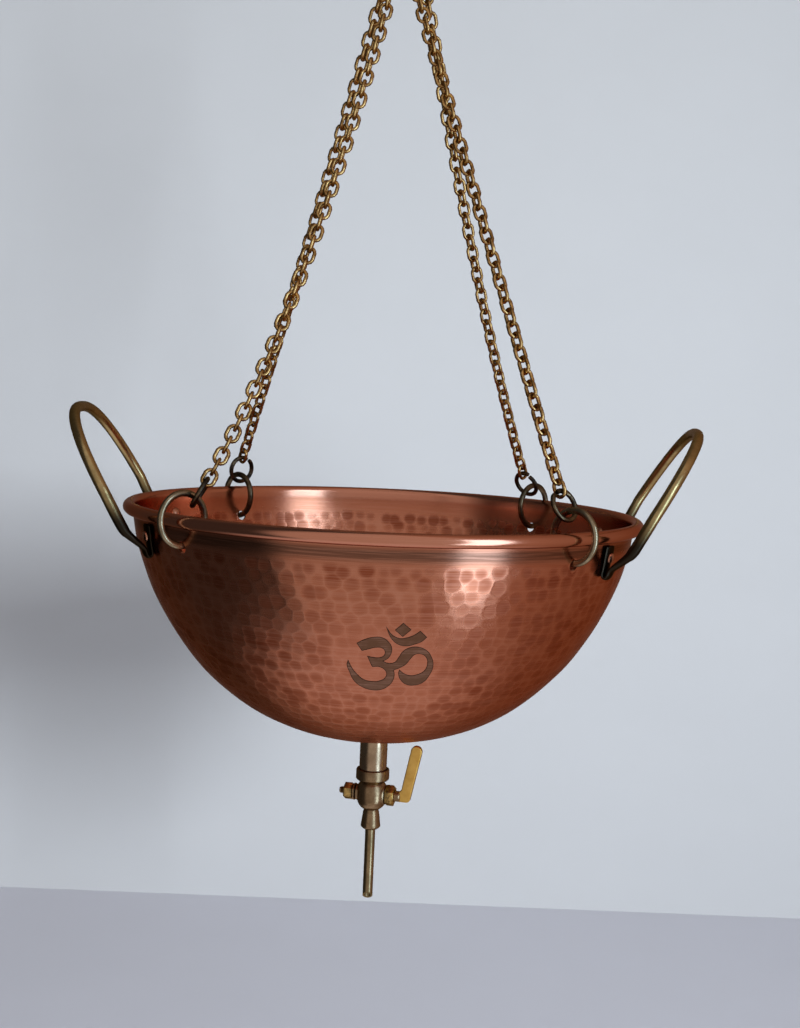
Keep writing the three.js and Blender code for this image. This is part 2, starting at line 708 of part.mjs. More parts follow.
function drainSolder() {
  const under = -(BOWL_DEPTH + GAP);
  const inner = PIPE_RADIUS + GAP;
  return turned([
    [inner, under - SOLDER_HEIGHT],
    [inner + SOLDER_WIDTH / 3, under - SOLDER_HEIGHT / 3],
    [inner + SOLDER_WIDTH, under - SOLDER_EDGE],
    [inner + SOLDER_WIDTH, under],
    [inner, under],
  ], PIPE_SIDES);
}

// Anything turned about the plug's axis is made about Z and then laid along X
function laid(geometry) {
  return geometry.rotateY(Math.PI / 2);
}

function barrelRadius(height) {
  return BARREL_RADIUS * Math.sqrt(1 - Math.abs(height / BARREL_HEIGHT) ** BARREL_SQUARENESS);
}

function tapBody() {
  const collar = COLLAR_DIAMETER / 2;
  const barrel = [-0.88, -0.65, -0.35, 0, 0.35, 0.65].map((share) => {
    const height = share * BARREL_HEIGHT;
    return [barrelRadius(height), height];
  });
  const outside = turnedSolid([
    [0, -CONE_BOTTOM],
    [TUBE_DIAMETER / 2 + 2 * GAP, -CONE_BOTTOM],
    [CONE_RADIUS, -CONE_BRIM],
    [NECK_RADIUS, -BARREL_HEIGHT],
    ...barrel,
    [PIPE_RADIUS, COLLAR_BOTTOM],
    [collar, COLLAR_BOTTOM + 1],
    [collar, COLLAR_TOP],
    [0, COLLAR_TOP],
  ], PIPE_SIDES);
  const rightBoss = laid(rod(RIGHT_BOSS_RADIUS, 0, RIGHT_BOSS, SMALL_SIDES));
  const leftBoss = laid(rod(LEFT_BOSS_RADIUS, PLUG_LEFT - GAP, 0, SMALL_SIDES));
  const socket = rod(PIPE_RADIUS + GAP, SOCKET_FLOOR, COLLAR_TOP + 1, PIPE_SIDES);
  const inlet = turnedSolid([
    [0, 0],
    [WATERWAY / 2, 0],
    [WATERWAY / 2, PLUG_BIG + 2 * GAP],
    [PIPE_BORE / 2, SOCKET_FLOOR - 1],
    [PIPE_BORE / 2, SOCKET_FLOOR + 1],
    [0, SOCKET_FLOOR + 1],
  ], SMALL_SIDES);
  const outlet = rod(WATERWAY / 2, -CONE_BOTTOM - 1, 0, SMALL_SIDES);
  const tubeSocket = rod(TUBE_DIAMETER / 2 + GAP, -CONE_BOTTOM - 1, -CONE_BOTTOM + TUBE_SEAT, SMALL_SIDES);
  const plugBore = laid(turnedSolid([
    [0, PLUG_LEFT - 2],
    [PLUG_SMALL + GAP, PLUG_LEFT - 2],
    [PLUG_SMALL + GAP, PLUG_LEFT],
    [PLUG_BIG + GAP, PLUG_RIGHT],
    [PLUG_BIG + GAP, RIGHT_BOSS + 1],
    [0, RIGHT_BOSS + 1],
  ], SMALL_SIDES));
  return cut(join([outside, rightBoss, leftBoss]), [socket, inlet, outlet, tubeSocket, plugBore]);
}

// Tapered plug with its cross port, a slotted stem for the lever and a tail for the nut
function tapPlug() {
  const body = laid(turnedSolid([
    [0, TAIL_END],
    [TAIL_RADIUS, TAIL_END],
    [TAIL_RADIUS, PLUG_LEFT],
    [PLUG_SMALL, PLUG_LEFT],
    [PLUG_BIG, PLUG_RIGHT],
    [STEM_RADIUS, PLUG_RIGHT],
    [STEM_RADIUS, STEM_END],
    [0, STEM_END],
  ], SMALL_SIDES));
  const port = rod(WATERWAY / 2, -2 * PLUG_BIG, 2 * PLUG_BIG, HOLE_SIDES);
  const slotStart = leverStart() - GAP;
  const length = STEM_END - slotStart + 1;
  const slot = new THREE.BoxGeometry(length, LEVER_THICKNESS + 2 * GAP, 4 * STEM_RADIUS)
    .translate(slotStart + length / 2, 0, 0);
  return cut(body, [port, slot]);
}

function glandFace() {
  return RIGHT_BOSS + GAP;
}

function leverStart() {
  return glandFace() + GLAND_LENGTH + 2 * GAP;
}

// A hexagon along Z, of a given size across its flats
function hexagon(across, from, length) {
  const outline = polygon(across / Math.sqrt(3), 6);
  return new THREE.ExtrudeGeometry(outline, { depth: length, bevelEnabled: false }).translate(0, 0, from);
}

// Gland nut: a hexagon outside the boss and a spigot that presses the packing
function glandNut() {
  const head = hexagon(GLAND_ACROSS, glandFace(), GLAND_LENGTH);
  const spigotStart = PLUG_RIGHT + PACKING_LENGTH + 2 * GAP;
  const spigot = rod(PLUG_BIG, spigotStart, glandFace() + 1, SMALL_SIDES);
  const bore = rod(STEM_RADIUS + GAP, spigotStart - 1, STEM_END, SMALL_SIDES);
  return laid(cut(join([head, spigot]), [bore]));
}

function glandPacking() {
  const start = PLUG_RIGHT + GAP;
  return laid(sleeve(STEM_RADIUS + GAP, PLUG_BIG, start, start + PACKING_LENGTH, SMALL_SIDES));
}

function tailWasher() {
  const end = PLUG_LEFT - 2 * GAP;
  return laid(sleeve(TAIL_RADIUS + GAP, WASHER_RADIUS, end - WASHER_THICKNESS, end, SMALL_SIDES));
}

function tailNut() {
  const start = PLUG_LEFT - 3 * GAP - WASHER_THICKNESS - TAIL_NUT_LENGTH;
  const bore = rod(TAIL_RADIUS + GAP, start - 1, PLUG_LEFT, SMALL_SIDES);
  return laid(cut(hexagon(TAIL_NUT_ACROSS, start, TAIL_NUT_LENGTH), [bore]));
}

// Lever: a flat plate whose leg sits in the stem's slot and whose blade rises beside the pipe
function tapLever() {
  const half = LEVER_WIDTH / 2;
  const lean = radians(LEVER_LEAN);
  const along = new THREE.Vector2(Math.sin(lean), Math.cos(lean));
  const aside = new THREE.Vector2(Math.cos(lean), -Math.sin(lean)).multiplyScalar(half);
  const bladeAt = (height) => new THREE.Vector2(LEVER_CORNER, 0).addScaledVector(along, height / along.y);
  const tip = bladeAt(LEVER_RISE);
  const leg = LEVER_LEG / 2;
  const heel = bladeAt(-leg).add(aside);
  const armpit = bladeAt(leg).sub(aside);
  const shape = new THREE.Shape();
  shape.moveTo(leverStart(), -leg);
  shape.lineTo(heel.x - LEVER_CHAMFER, -leg);
  shape.lineTo(bladeAt(LEVER_CHAMFER - leg).x + aside.x, LEVER_CHAMFER - leg);
  shape.lineTo(tip.x + aside.x, tip.y + aside.y);
  shape.absarc(tip.x, tip.y, half, -lean, Math.PI - lean, false);
  shape.lineTo(armpit.x, leg);
  shape.lineTo(leverStart(), leg);
  shape.closePath();
  const options = { depth: LEVER_THICKNESS, bevelEnabled: false, curveSegments: TIP_STEPS };
  const plate = new THREE.ExtrudeGeometry(shape, options);
  return plate.translate(0, 0, -LEVER_THICKNESS / 2).rotateX(Math.PI / 2);
}

// Drip tube, cut off slantwise so that its mouth looks forwards
function dripTube() {
  const top = -CONE_BOTTOM + TUBE_SEAT - GAP;
  const tube = sleeve(TUBE_BORE / 2, TUBE_DIAMETER / 2, -TUBE_END, top, SMALL_SIDES);
  const size = 4 * TUBE_DIAMETER;
  const knife = new THREE.BoxGeometry(size, size, size)
    .translate(0, 0, -size / 2)
    .rotateX(radians(-TUBE_CUT))
    .translate(0, 0, -TUBE_END + (TUBE_DIAMETER / 2) * Math.tan(radians(TUBE_CUT)));
  return cut(tube, [knife]);
}

function addTap(parent) {
  const tap = new THREE.Group();
  tap.position.z = TAP_HEIGHT;
  tap.rotation.z = radians(-TAP_TURN);
  parent.add(tap);
  addMesh(tap, "tap_body", tapBody(), darkBrass);
  addMesh(tap, "tap_plug", tapPlug(), yellowBrass);
  addMesh(tap, "tap_lever", tapLever(), yellowBrass);
  addMesh(tap, "gland_nut", glandNut(), yellowBrass);
  addMesh(tap, "gland_packing", glandPacking(), packing);
  addMesh(tap, "tail_washer", tailWasher(), darkBrass);
  addMesh(tap, "tail_nut", tailNut(), yellowBrass);
  const tube = addMesh(tap, "drip_tube", dripTube(), darkBrass);
  tube.rotation.z = radians(TAP_TURN);
}

// The whole pot, its rim at zero height, hung below the origin
const group = new THREE.Group();
const pot = new THREE.Group();
pot.position.z = -HANG_HEIGHT;
group.add(pot);

const sHook = addMesh(pot, "s_hook", hook(), darkBrass);
sHook.position.z = HOOK_LOW + HOOK_PITCH / 2;
const gather = addMesh(pot, "gather_ring", gatherRing(), darkBrass);
gather.position.z = GATHER_CENTRE;
LEGS.forEach((leg) => addLeg(pot, leg));
addMesh(pot, "bowl", bowl(), copper);
addMesh(pot, "rim_wire", rimWire(), wire);
addHandle(pot, "left", LEFT_HANDLE_AZIMUTH);
addHandle(pot, "right", RIGHT_HANDLE_AZIMUTH);
addMesh(pot, "drain_pipe", drainPipe(), darkBrass);
addMesh(pot, "drain_solder", drainSolder(), solder);
addTap(pot);

export default group;
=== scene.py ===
"""A shirodhara pot: a hammered copper bowl on four brass chains, with a small plug tap and a drip tube.

The classes below hold their sizes in millimetres, with heights measured from the middle of the bowl's
rolled rim and -Y towards the viewer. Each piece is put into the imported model's frame, in metres, when
it is finished.
"""

import json
import logging
import math
from collections.abc import Callable, Iterable, Sequence
from dataclasses import dataclass, replace
from enum import Enum

import bmesh
import bpy
import numpy as np
from mathutils import Matrix, Vector


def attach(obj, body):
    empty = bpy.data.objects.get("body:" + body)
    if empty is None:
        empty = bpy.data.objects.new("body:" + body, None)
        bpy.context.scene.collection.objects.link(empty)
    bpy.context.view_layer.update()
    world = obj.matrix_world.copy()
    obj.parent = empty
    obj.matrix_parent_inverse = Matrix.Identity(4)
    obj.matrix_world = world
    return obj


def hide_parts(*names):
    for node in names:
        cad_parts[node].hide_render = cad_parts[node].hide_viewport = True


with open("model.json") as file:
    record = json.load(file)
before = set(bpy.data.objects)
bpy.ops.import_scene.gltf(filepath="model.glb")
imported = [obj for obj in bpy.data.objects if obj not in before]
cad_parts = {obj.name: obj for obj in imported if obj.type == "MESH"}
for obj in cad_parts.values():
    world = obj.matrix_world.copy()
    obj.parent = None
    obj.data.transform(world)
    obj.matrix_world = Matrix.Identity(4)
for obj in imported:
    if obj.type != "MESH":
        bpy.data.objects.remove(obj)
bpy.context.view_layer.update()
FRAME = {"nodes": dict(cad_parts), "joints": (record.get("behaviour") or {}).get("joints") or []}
LOG = logging.getLogger("shirodhara_pot")

METRES = 0.001
RIM_HEIGHT = -338.7
RIM_RADIUS = 125.0

Colour = tuple[float, float, float]
Point = tuple[float, float]
Socket = bpy.types.NodeSocket
Value = Socket | float | tuple[float, ...]
Vert = bmesh.types.BMVert
Edge = bmesh.types.BMEdge
Face = bmesh.types.BMFace


class Body(Enum):
    """The moving bodies that the pieces ride on."""

    HOOK = "hook"
    GATHER = "gather"
    POT = "pot"
    TAP_KEY = "tap_key"


class Corner(Enum):
    """The four places round the rim where a chain is fastened."""

    FRONT_LEFT = "front_left"
    FRONT_RIGHT = "front_right"
    BACK_LEFT = "back_left"
    BACK_RIGHT = "back_right"


class Side(Enum):
    """The two sides that carry a handle."""

    LEFT = "left"
    RIGHT = "right"


# ---- Finishes ----


class Nodes:
    """A node tree under construction, with short calls for the nodes that it uses."""

    def __init__(self, tree: bpy.types.NodeTree) -> None:
        """Keep the tree's nodes and links at hand."""
        self.nodes = tree.nodes
        self.links = tree.links

    def feed(self, socket: Socket, value: Value) -> None:
        """Link an output to a socket, or set the socket to a plain value.

        Args:
            socket: The input that is fed.
            value: An output socket, a number or a colour.
        """
        if isinstance(value, Socket):
            self.links.new(value, socket)
        else:
            socket.default_value = value

    def node(self, kind: str, *values: Value, **settings: object) -> bpy.types.Node:
        """Add a node and feed its inputs in order.

        Args:
            kind: The node's type, without the ShaderNode at its start.
            values: What its first inputs get.
            settings: The node's own settings.

        Returns:
            The node.
        """
        node = self.nodes.new(f"ShaderNode{kind}")
        for name, setting in settings.items():
            setattr(node, name, setting)
        for socket, value in zip(node.inputs, values):
            self.feed(socket, value)
        return node

    def maths(self, operation: str, first: Value, *more: Value) -> Socket:
        """Combine numbers from the first to the last, or change one number.

        Args:
            operation: A Math node's operation.
            first: The first number or socket.
            more: The others, where the operation takes them.

        Returns:
            The result.
        """
        for value in more or (0.0,):
            first = self.node("Math", first, value, operation=operation).outputs[0]
        return first

    def spread(
        self, value: Value, low: float, high: float, start: float = 0.0, end: float = 1.0
    ) -> Socket:
        """Stretch the range from low to high so that it runs smoothly from start to end.

        Args:
            value: The number to stretch.
            low: The value that becomes start.
            high: The value that becomes end.
            start: The result at low and under it.
            end: The result at high and over it.

        Returns:
            The stretched number.
        """
        node = self.node("MapRange", value, low, high, start, end, interpolation_type="SMOOTHSTEP")
        return node.outputs["Result"]

    def mix(self, share: Value, first: Value, second: Value, numbers: bool = False) -> Socket:
        """Blend two colours or two numbers.

        Args:
            share: How much of the second one there is.
            first: The first colour, number or socket.
            second: The second one.
            numbers: Whether they are numbers.

        Returns:
            The blended colour or number.
        """
        if numbers:
            node, inputs = self.node("Mix", share), (2, 3)
        else:
            node, inputs = self.node("Mix", share, data_type="RGBA"), (6, 7)
        for index, value in zip(inputs, (first, second)):
            plain_colour = not numbers and not isinstance(value, Socket)
            self.feed(node.inputs[index], (*value, 1.0) if plain_colour else value)
        return node.outputs[0 if numbers else 2]


class Shading(Nodes):
    """A material under construction."""

    def __init__(self, name: str) -> None:
        """Start a material.

        Args:
            name: The material's name.
        """
        self.material = bpy.data.materials.new(name)
        self.material.use_nodes = True
        super().__init__(self.material.node_tree)
        self.shader = self.nodes["Principled BSDF"]
        self.position = self.node("TexCoord").outputs["Object"]

    def surface(self, inputs: dict[str, Value]) -> None:
        """Feed the shader's inputs by their names."""
        for name, value in inputs.items():
            self.feed(self.shader.inputs[name], value)

    def attribute(self, name: str) -> Socket:
        """Read a number that the mesh carries on its points."""
        return self.node("Attribute", attribute_name=name).outputs["Fac"]

    def noise(self, grain: Sequence[float], detail: float = 3.0, seed: float = 0.0) -> Socket:
        """Make a cloudy pattern on the object's own coordinates.

        Args:
            grain: The size of the pattern's patches along X, Y and Z, in millimetres.
            detail: How many finer layers it has.
            seed: A shift that gives another pattern of the same kind.

        Returns:
            The pattern, from 0 to 1.
        """
        mapping = self.node("Mapping", self.position)
        mapping.inputs["Scale"].default_value = [1 / (METRES * size) for size in grain]
        mapping.inputs["Location"].default_value = (seed, 2 * seed, 3 * seed)
        node = self.node("TexNoise", mapping.outputs["Vector"])
        node.inputs["Scale"].default_value = 1.0
        node.inputs["Detail"].default_value = detail
        return node.outputs["Fac"]

    def axes(self) -> list[Socket]:
        """Read X, Y and Z, in metres."""
        return list(self.node("SeparateXYZ", self.position).outputs)

    def height(self) -> Socket:
        """Read the height above the middle of the rim, in millimetres."""
        scaled = self.maths("MULTIPLY", self.axes()[2], 1 / METRES)
        return self.maths("SUBTRACT", scaled, RIM_HEIGHT)

    def azimuth(self) -> Socket:
        """Read the direction round the bowl's axis, in radians."""
        x, y, _ = self.axes()
        return self.maths("ARCTAN2", y, x)

    def girth(self) -> Socket:
        """Read the length of the circle round the bowl's axis, in millimetres."""
        x, y, _ = self.axes()
        squared = self.maths("ADD", self.maths("MULTIPLY", x, x), self.maths("MULTIPLY", y, y))
        return self.maths("MULTIPLY", self.maths("SQRT", squared), 2 * math.pi / METRES)

    def chance(self, first: Value, second: Value) -> list[Socket]:
        """Throw three dice for a pair of whole numbers.

        Args:
            first: The first number.
            second: The second number.

        Returns:
            Three numbers from 0 to 1, always the same for the same pair.
        """
        pair = self.node("CombineXYZ", first, second).outputs[0]
        thrown = self.node("TexWhiteNoise", pair, noise_dimensions="2D").outputs["Color"]
        return list(self.node("SeparateColor", thrown).outputs)

    def bump(self, *reliefs: tuple[Socket, float]) -> None:
        """Give the surface fine relief.

        Args:
            reliefs: Height patterns from 0 to 1, each with its height in millimetres.
        """
        heights = [self.maths("MULTIPLY", pattern, depth) for pattern, depth in reliefs]
        node = self.node("Bump")
        node.inputs["Strength"].default_value = 1.0
        node.inputs["Distance"].default_value = METRES
        self.feed(node.inputs["Height"], self.maths("ADD", 0.0, *heights))
        self.surface({"Normal": node.outputs["Normal"]})


@dataclass(frozen=True)
class AgedMetal:
    """Brass or solder whose patina darkens its hollows and is worn off where hands and links rub, and which
    can get painted shade below a height.

    Attributes:
        name: The material's name.
        bright: The worn metal's colour.
        dark: The patina's colour.
        patina: The share of the surface that the patina covers.
        roughness: The polish of the worn metal.
        dull: How much rougher the patina is.
        patch: The size of the patina's patches, in millimetres.
        blend: How softly the patina fades out, from 0 to 1.
        scratch: The length, width and height of the fine scratches, in millimetres.
        depth: How deep the scratches are, in millimetres.
        painted_shade_under: The height under which painted shade makes the metal nearly black, or None.
        green: The share of green that the patina shows.
        rim: The tint of its grazing reflections.
    """

    name: str
    bright: Colour
    dark: Colour
    patina: float
    roughness: float
    dull: float = 0.18
    patch: float = 6.0
    blend: float = 0.2
    scratch: tuple[float, float, float] = (1.5, 1.5, 1.5)
    depth: float = 0.01
    painted_shade_under: float | None = None
    green: float = 0.0
    rim: Colour = (0.5, 0.42, 0.32)

    # painted shade: UNDERSIDE_SHADE is the nearly black colour below painted_shade_under, fading out
    # upwards over UNDERSIDE_SHADE_FADE millimetres
    UNDERSIDE_SHADE = (0.035, 0.028, 0.02)
    UNDERSIDE_SHADE_FADE = 22.0
    VERDIGRIS = (0.17, 0.2, 0.11)

    def build(self) -> bpy.types.Material:
        """Make the material.

        Returns:
            The material, ready to be given to a piece.
        """
        shading = Shading(self.name)
        cloud = shading.noise((self.patch,) * 3, detail=5.0)
        speck = shading.noise((self.patch / 5,) * 3, detail=2.0, seed=7.0)
        maths = shading.maths
        cover = maths("ADD", maths("MULTIPLY", cloud, 0.75), maths("MULTIPLY", speck, 0.35))
        edge = 0.55 + 0.3 * (0.5 - self.patina)
        cover = shading.spread(cover, edge - self.blend, edge + self.blend)
        dark: Value = self.dark
        # Painted shade: below painted_shade_under the metal is darkened to nearly black, fading out
        # upwards.
        if self.painted_shade_under is not None:
            fade_end = self.painted_shade_under + self.UNDERSIDE_SHADE_FADE
            low = shading.spread(shading.height(), self.painted_shade_under, fade_end, 1.0, 0.0)
            cover = maths("MAXIMUM", cover, low)
            dark = shading.mix(low, self.dark, self.UNDERSIDE_SHADE)
        if self.green:
            veil = shading.spread(shading.noise((3.5,) * 3, seed=3.0), 0.45, 0.7, 0.0, self.green)
            dark = shading.mix(veil, self.dark, self.VERDIGRIS)
        shading.surface({
            "Base Color": shading.mix(cover, self.bright, dark),
            "Roughness": shading.spread(cover, 0.0, 1.0, self.roughness, self.roughness + self.dull),
            "Metallic": 1.0,
            "Specular Tint": (*self.rim, 1.0),
        })
        shading.bump((shading.noise(self.scratch, detail=2.0, seed=11.0), self.depth))
        return shading.material


@dataclass(frozen=True)
class HammerMarks:
    """Round hammer marks in rows, one row under the other round the bowl.

    Attributes:
        first: How far down the wall the first row is, in millimetres.
        row: The distance between rows.
        reach: A mark's radius.
        stray: How far a mark strays from its place, as a share of its spacing.
        counts: How many marks each row holds.
    """

    first: float
    row: float
    reach: float
    stray: float
    counts: tuple[int, ...]

    def count_in(self, shading: Shading, row: Socket) -> Socket:
        """Look up how many marks a row holds.

        Args:
            shading: The material under construction.
            row: The row's number.

        Returns:
            The number of marks.
        """
        node = shading.node("FloatCurve")
        curve = node.mapping.curves[0]
        last = len(self.counts) - 1
        most = max(self.counts)
        for i, count in enumerate(self.counts):
            at = (i / last, count / most)
            if i in (0, last):
                curve.points[0 if i == 0 else -1].location = at
            else:
                curve.points.new(*at)
        for point in curve.points:
            point.handle_type = "VECTOR"
        node.mapping.update()
        shading.feed(node.inputs["Value"], shading.maths("DIVIDE", row, float(last)))
        return shading.maths("ROUND", shading.maths("MULTIPLY", node.outputs[0], float(most)))

    def strayed(self, shading: Shading, chance: Socket) -> Socket:
        """Give how far a mark strays from its place, as a share of its spacing."""
        return shading.maths("MULTIPLY", shading.maths("SUBTRACT", chance, 0.5), 2 * self.stray)

    def build(self, shading: Shading) -> tuple[Socket, Socket, Socket]:
        """Make the pattern.

        Args:
            shading: The material under construction.

        Returns:
            The depth from 0 on a ridge to about 1, how flat it is (0 on a ridge, 1 inside a mark),
            and a chance value for each mark.
        """
        maths = shading.maths
        down_wall = shading.attribute("down_wall")
        place = maths("DIVIDE", maths("SUBTRACT", down_wall, self.first), self.row)
        middle_row = maths("ROUND", place)
        turn = maths("ADD", maths("DIVIDE", shading.azimuth(), 2 * math.pi), 2.0)
        best: Value = -1.0
        second: Value = -1.0
        chance: Value = 0.0
        for row_step in (-1.0, 0.0, 1.0):
            row = maths("MAXIMUM", maths("ADD", middle_row, row_step), 0.0)
            count = self.count_in(shading, row)
            along = maths("ADD", maths("MULTIPLY", turn, count), shading.chance(row, 0.5)[0])
            cell = maths("FLOOR", along)
            half = maths("ROUND", maths("SUBTRACT", along, cell))
            beside = maths("SUBTRACT", maths("MULTIPLY", half, 2.0), 1.0)
            for other in (0.0, beside):
                this = maths("ADD", cell, other)
                aside, down, power = shading.chance(maths("FLOORED_MODULO", this, count), row)
                left = maths("SUBTRACT", along, this, 0.5, self.strayed(shading, aside))
                wide = maths("DIVIDE", maths("MULTIPLY", left, shading.girth()), count)
                upright = maths("SUBTRACT", place, row, self.strayed(shading, down))
                upright = maths("MULTIPLY", upright, self.row)
                far = maths("ADD", maths("MULTIPLY", wide, wide), maths("MULTIPLY", upright, upright))
                strength = maths("ADD", maths("MULTIPLY", power, 0.5), 0.6)
                near = maths("SUBTRACT", strength, maths("DIVIDE", far, self.reach**2))
                second = maths("MAXIMUM", second, maths("MINIMUM", best, near))
                chance = shading.mix(maths("GREATER_THAN", near, best), chance, power, numbers=True)
                best = maths("MAXIMUM", best, near)
        flat = shading.spread(maths("SUBTRACT", best, maths("MAXIMUM", second, 0.0)), -0.05, 0.5)
        return maths("MAXIMUM", best, 0.0), flat, chance


@dataclass(frozen=True)
class HammeredCopper:
    """Satin copper, brushed round and round, dark in the hammer marks and bright on their ridges.

    It reads how far down the wall a point is, how strongly it is marked and where the crease under the rim
    gets painted shade, from the bowl's mesh.

    Attributes:
        name: The material's name.
        bright: The colour of ridges and of worn places.
        warm: The colour of most of the surface.
        dark: The colour of the patina in the marks.
        edge: The tint of its grazing reflections.
        roughness: The polish.
        brushing: How deep the brushed lines are, in millimetres.
        depth: How deep the hammer marks are, in millimetres.
        anisotropy: How far highlights are drawn out across the brushing.
        crease_shade: The colour of the painted shade in the crease under the rolled rim.
        rubbing: How far the rolled rim is rubbed bright.
        marks: The hammer marks.
    """

    name: str = "hammered_copper"
    bright: Colour = (0.78, 0.38, 0.27)
    warm: Colour = (0.62, 0.235, 0.14)
    dark: Colour = (0.38, 0.105, 0.052)
    edge: Colour = (0.7, 0.45, 0.36)
    roughness: float = 0.25
    brushing: float = 0.02
    depth: float = 0.065
    anisotropy: float = 0.6
    crease_shade: Colour = (0.13, 0.07, 0.05)
    rubbing: float = 0.55
    marks: HammerMarks = HammerMarks(
        first=13.8,
        row=5.5,
        reach=4.5,
        stray=0.24,
        counts=(
            106, 105, 105, 104, 106, 108, 110, 111, 110, 109, 108, 107, 105, 102, 99, 95,
            90, 85, 80, 74, 68, 61, 54, 47, 40, 33, 26, 19, 12, 8, 6,
        ),
    )

    def build(self) -> bpy.types.Material:
        """Make the material.

        Returns:
            The material.
        """
        shading = Shading(self.name)
        maths = shading.maths
        depth, inside, chance = self.marks.build(shading)
        marked = shading.attribute("marked")
        down_wall = shading.attribute("down_wall")
        lines = shading.noise((26.0, 26.0, 0.35), detail=4.0)
        spot = shading.spread(depth, 0.15, 1.0)
        cloud = shading.noise((30.0, 30.0, 24.0), detail=4.0, seed=5.0)
        fleck = shading.noise((3.2, 3.2, 2.6), detail=3.0, seed=9.0)
        tarnish = shading.spread(cloud, 0.35, 0.7, 0.15, 0.6)
        tarnish = maths("ADD", tarnish, maths("MULTIPLY", chance, 0.4))
        first_row = shading.spread(down_wall, 17.0, 19.5, 0.35, 0.0)
        cover = maths("MULTIPLY", spot, maths("ADD", tarnish, first_row), marked)
        cover = maths("MAXIMUM", cover, shading.spread(fleck, 0.6, 0.78, 0.0, 0.35))
        worn = maths("MULTIPLY", maths("SUBTRACT", 1.0, inside), marked)
        worn = maths("MULTIPLY", worn, shading.spread(cloud, 0.4, 0.65, 0.35, 0.05))
        rubbed = shading.spread(down_wall, 2.0, 4.0, self.rubbing, 0.0)
        base = shading.mix(worn, self.warm, self.bright)
        base = shading.mix(cover, base, self.dark)
        base = shading.mix(rubbed, base, self.bright)
        # Painted shade darkens the crease under the rolled rim.
        base = shading.mix(shading.attribute("crease"), base, self.crease_shade)
        base = shading.mix(shading.spread(lines, 0.45, 0.62, 0.0, 0.3), base, self.bright)
        polish = shading.spread(cover, 0.0, 1.0, self.roughness, self.roughness + 0.12)
        round_axis = shading.node("Tangent", direction_type="RADIAL", axis="Z")
        shading.surface({
            "Base Color": base,
            "Roughness": maths("SUBTRACT", polish, maths("MULTIPLY", rubbed, 0.12)),
            "Metallic": 1.0,
            "Specular Tint": (*self.edge, 1.0),
            "Anisotropic": self.anisotropy,
            "Anisotropic Rotation": 0.25,
            "Tangent": round_axis.outputs[0],
        })
        shading.bump((maths("MULTIPLY", spot, marked, -1.0), self.depth), (lines, self.brushing))
        return shading.material


@dataclass(frozen=True)
class EtchedSign:
    """The etched and darkened metal of the sign.

    Attributes:
        name: The material's name.
        face: The colour of the etched face.
        light: The colour where the etching is thin.
        roughness: The polish.
    """

    name: str
    face: Colour
    light: Colour
    roughness: float

    def build(self) -> bpy.types.Material:
        """Make the material.

        Returns:
            The material.
        """
        shading = Shading(self.name)
        lines = shading.noise((24.0, 24.0, 0.4), detail=3.0)
        cloud = shading.noise((7.0, 7.0, 5.0), detail=3.0, seed=2.0)
        thin, patchy = shading.spread(lines, 0.4, 0.7), shading.spread(cloud, 0.35, 0.65)
        thin = shading.maths("MULTIPLY", thin, patchy)
        shading.surface({
            "Base Color": shading.mix(thin, self.face, self.light),
            "Roughness": self.roughness,
            "Metallic": 0.9,
        })
        shading.bump((lines, 0.006))
        return shading.material


Finish = AgedMetal | HammeredCopper | EtchedSign


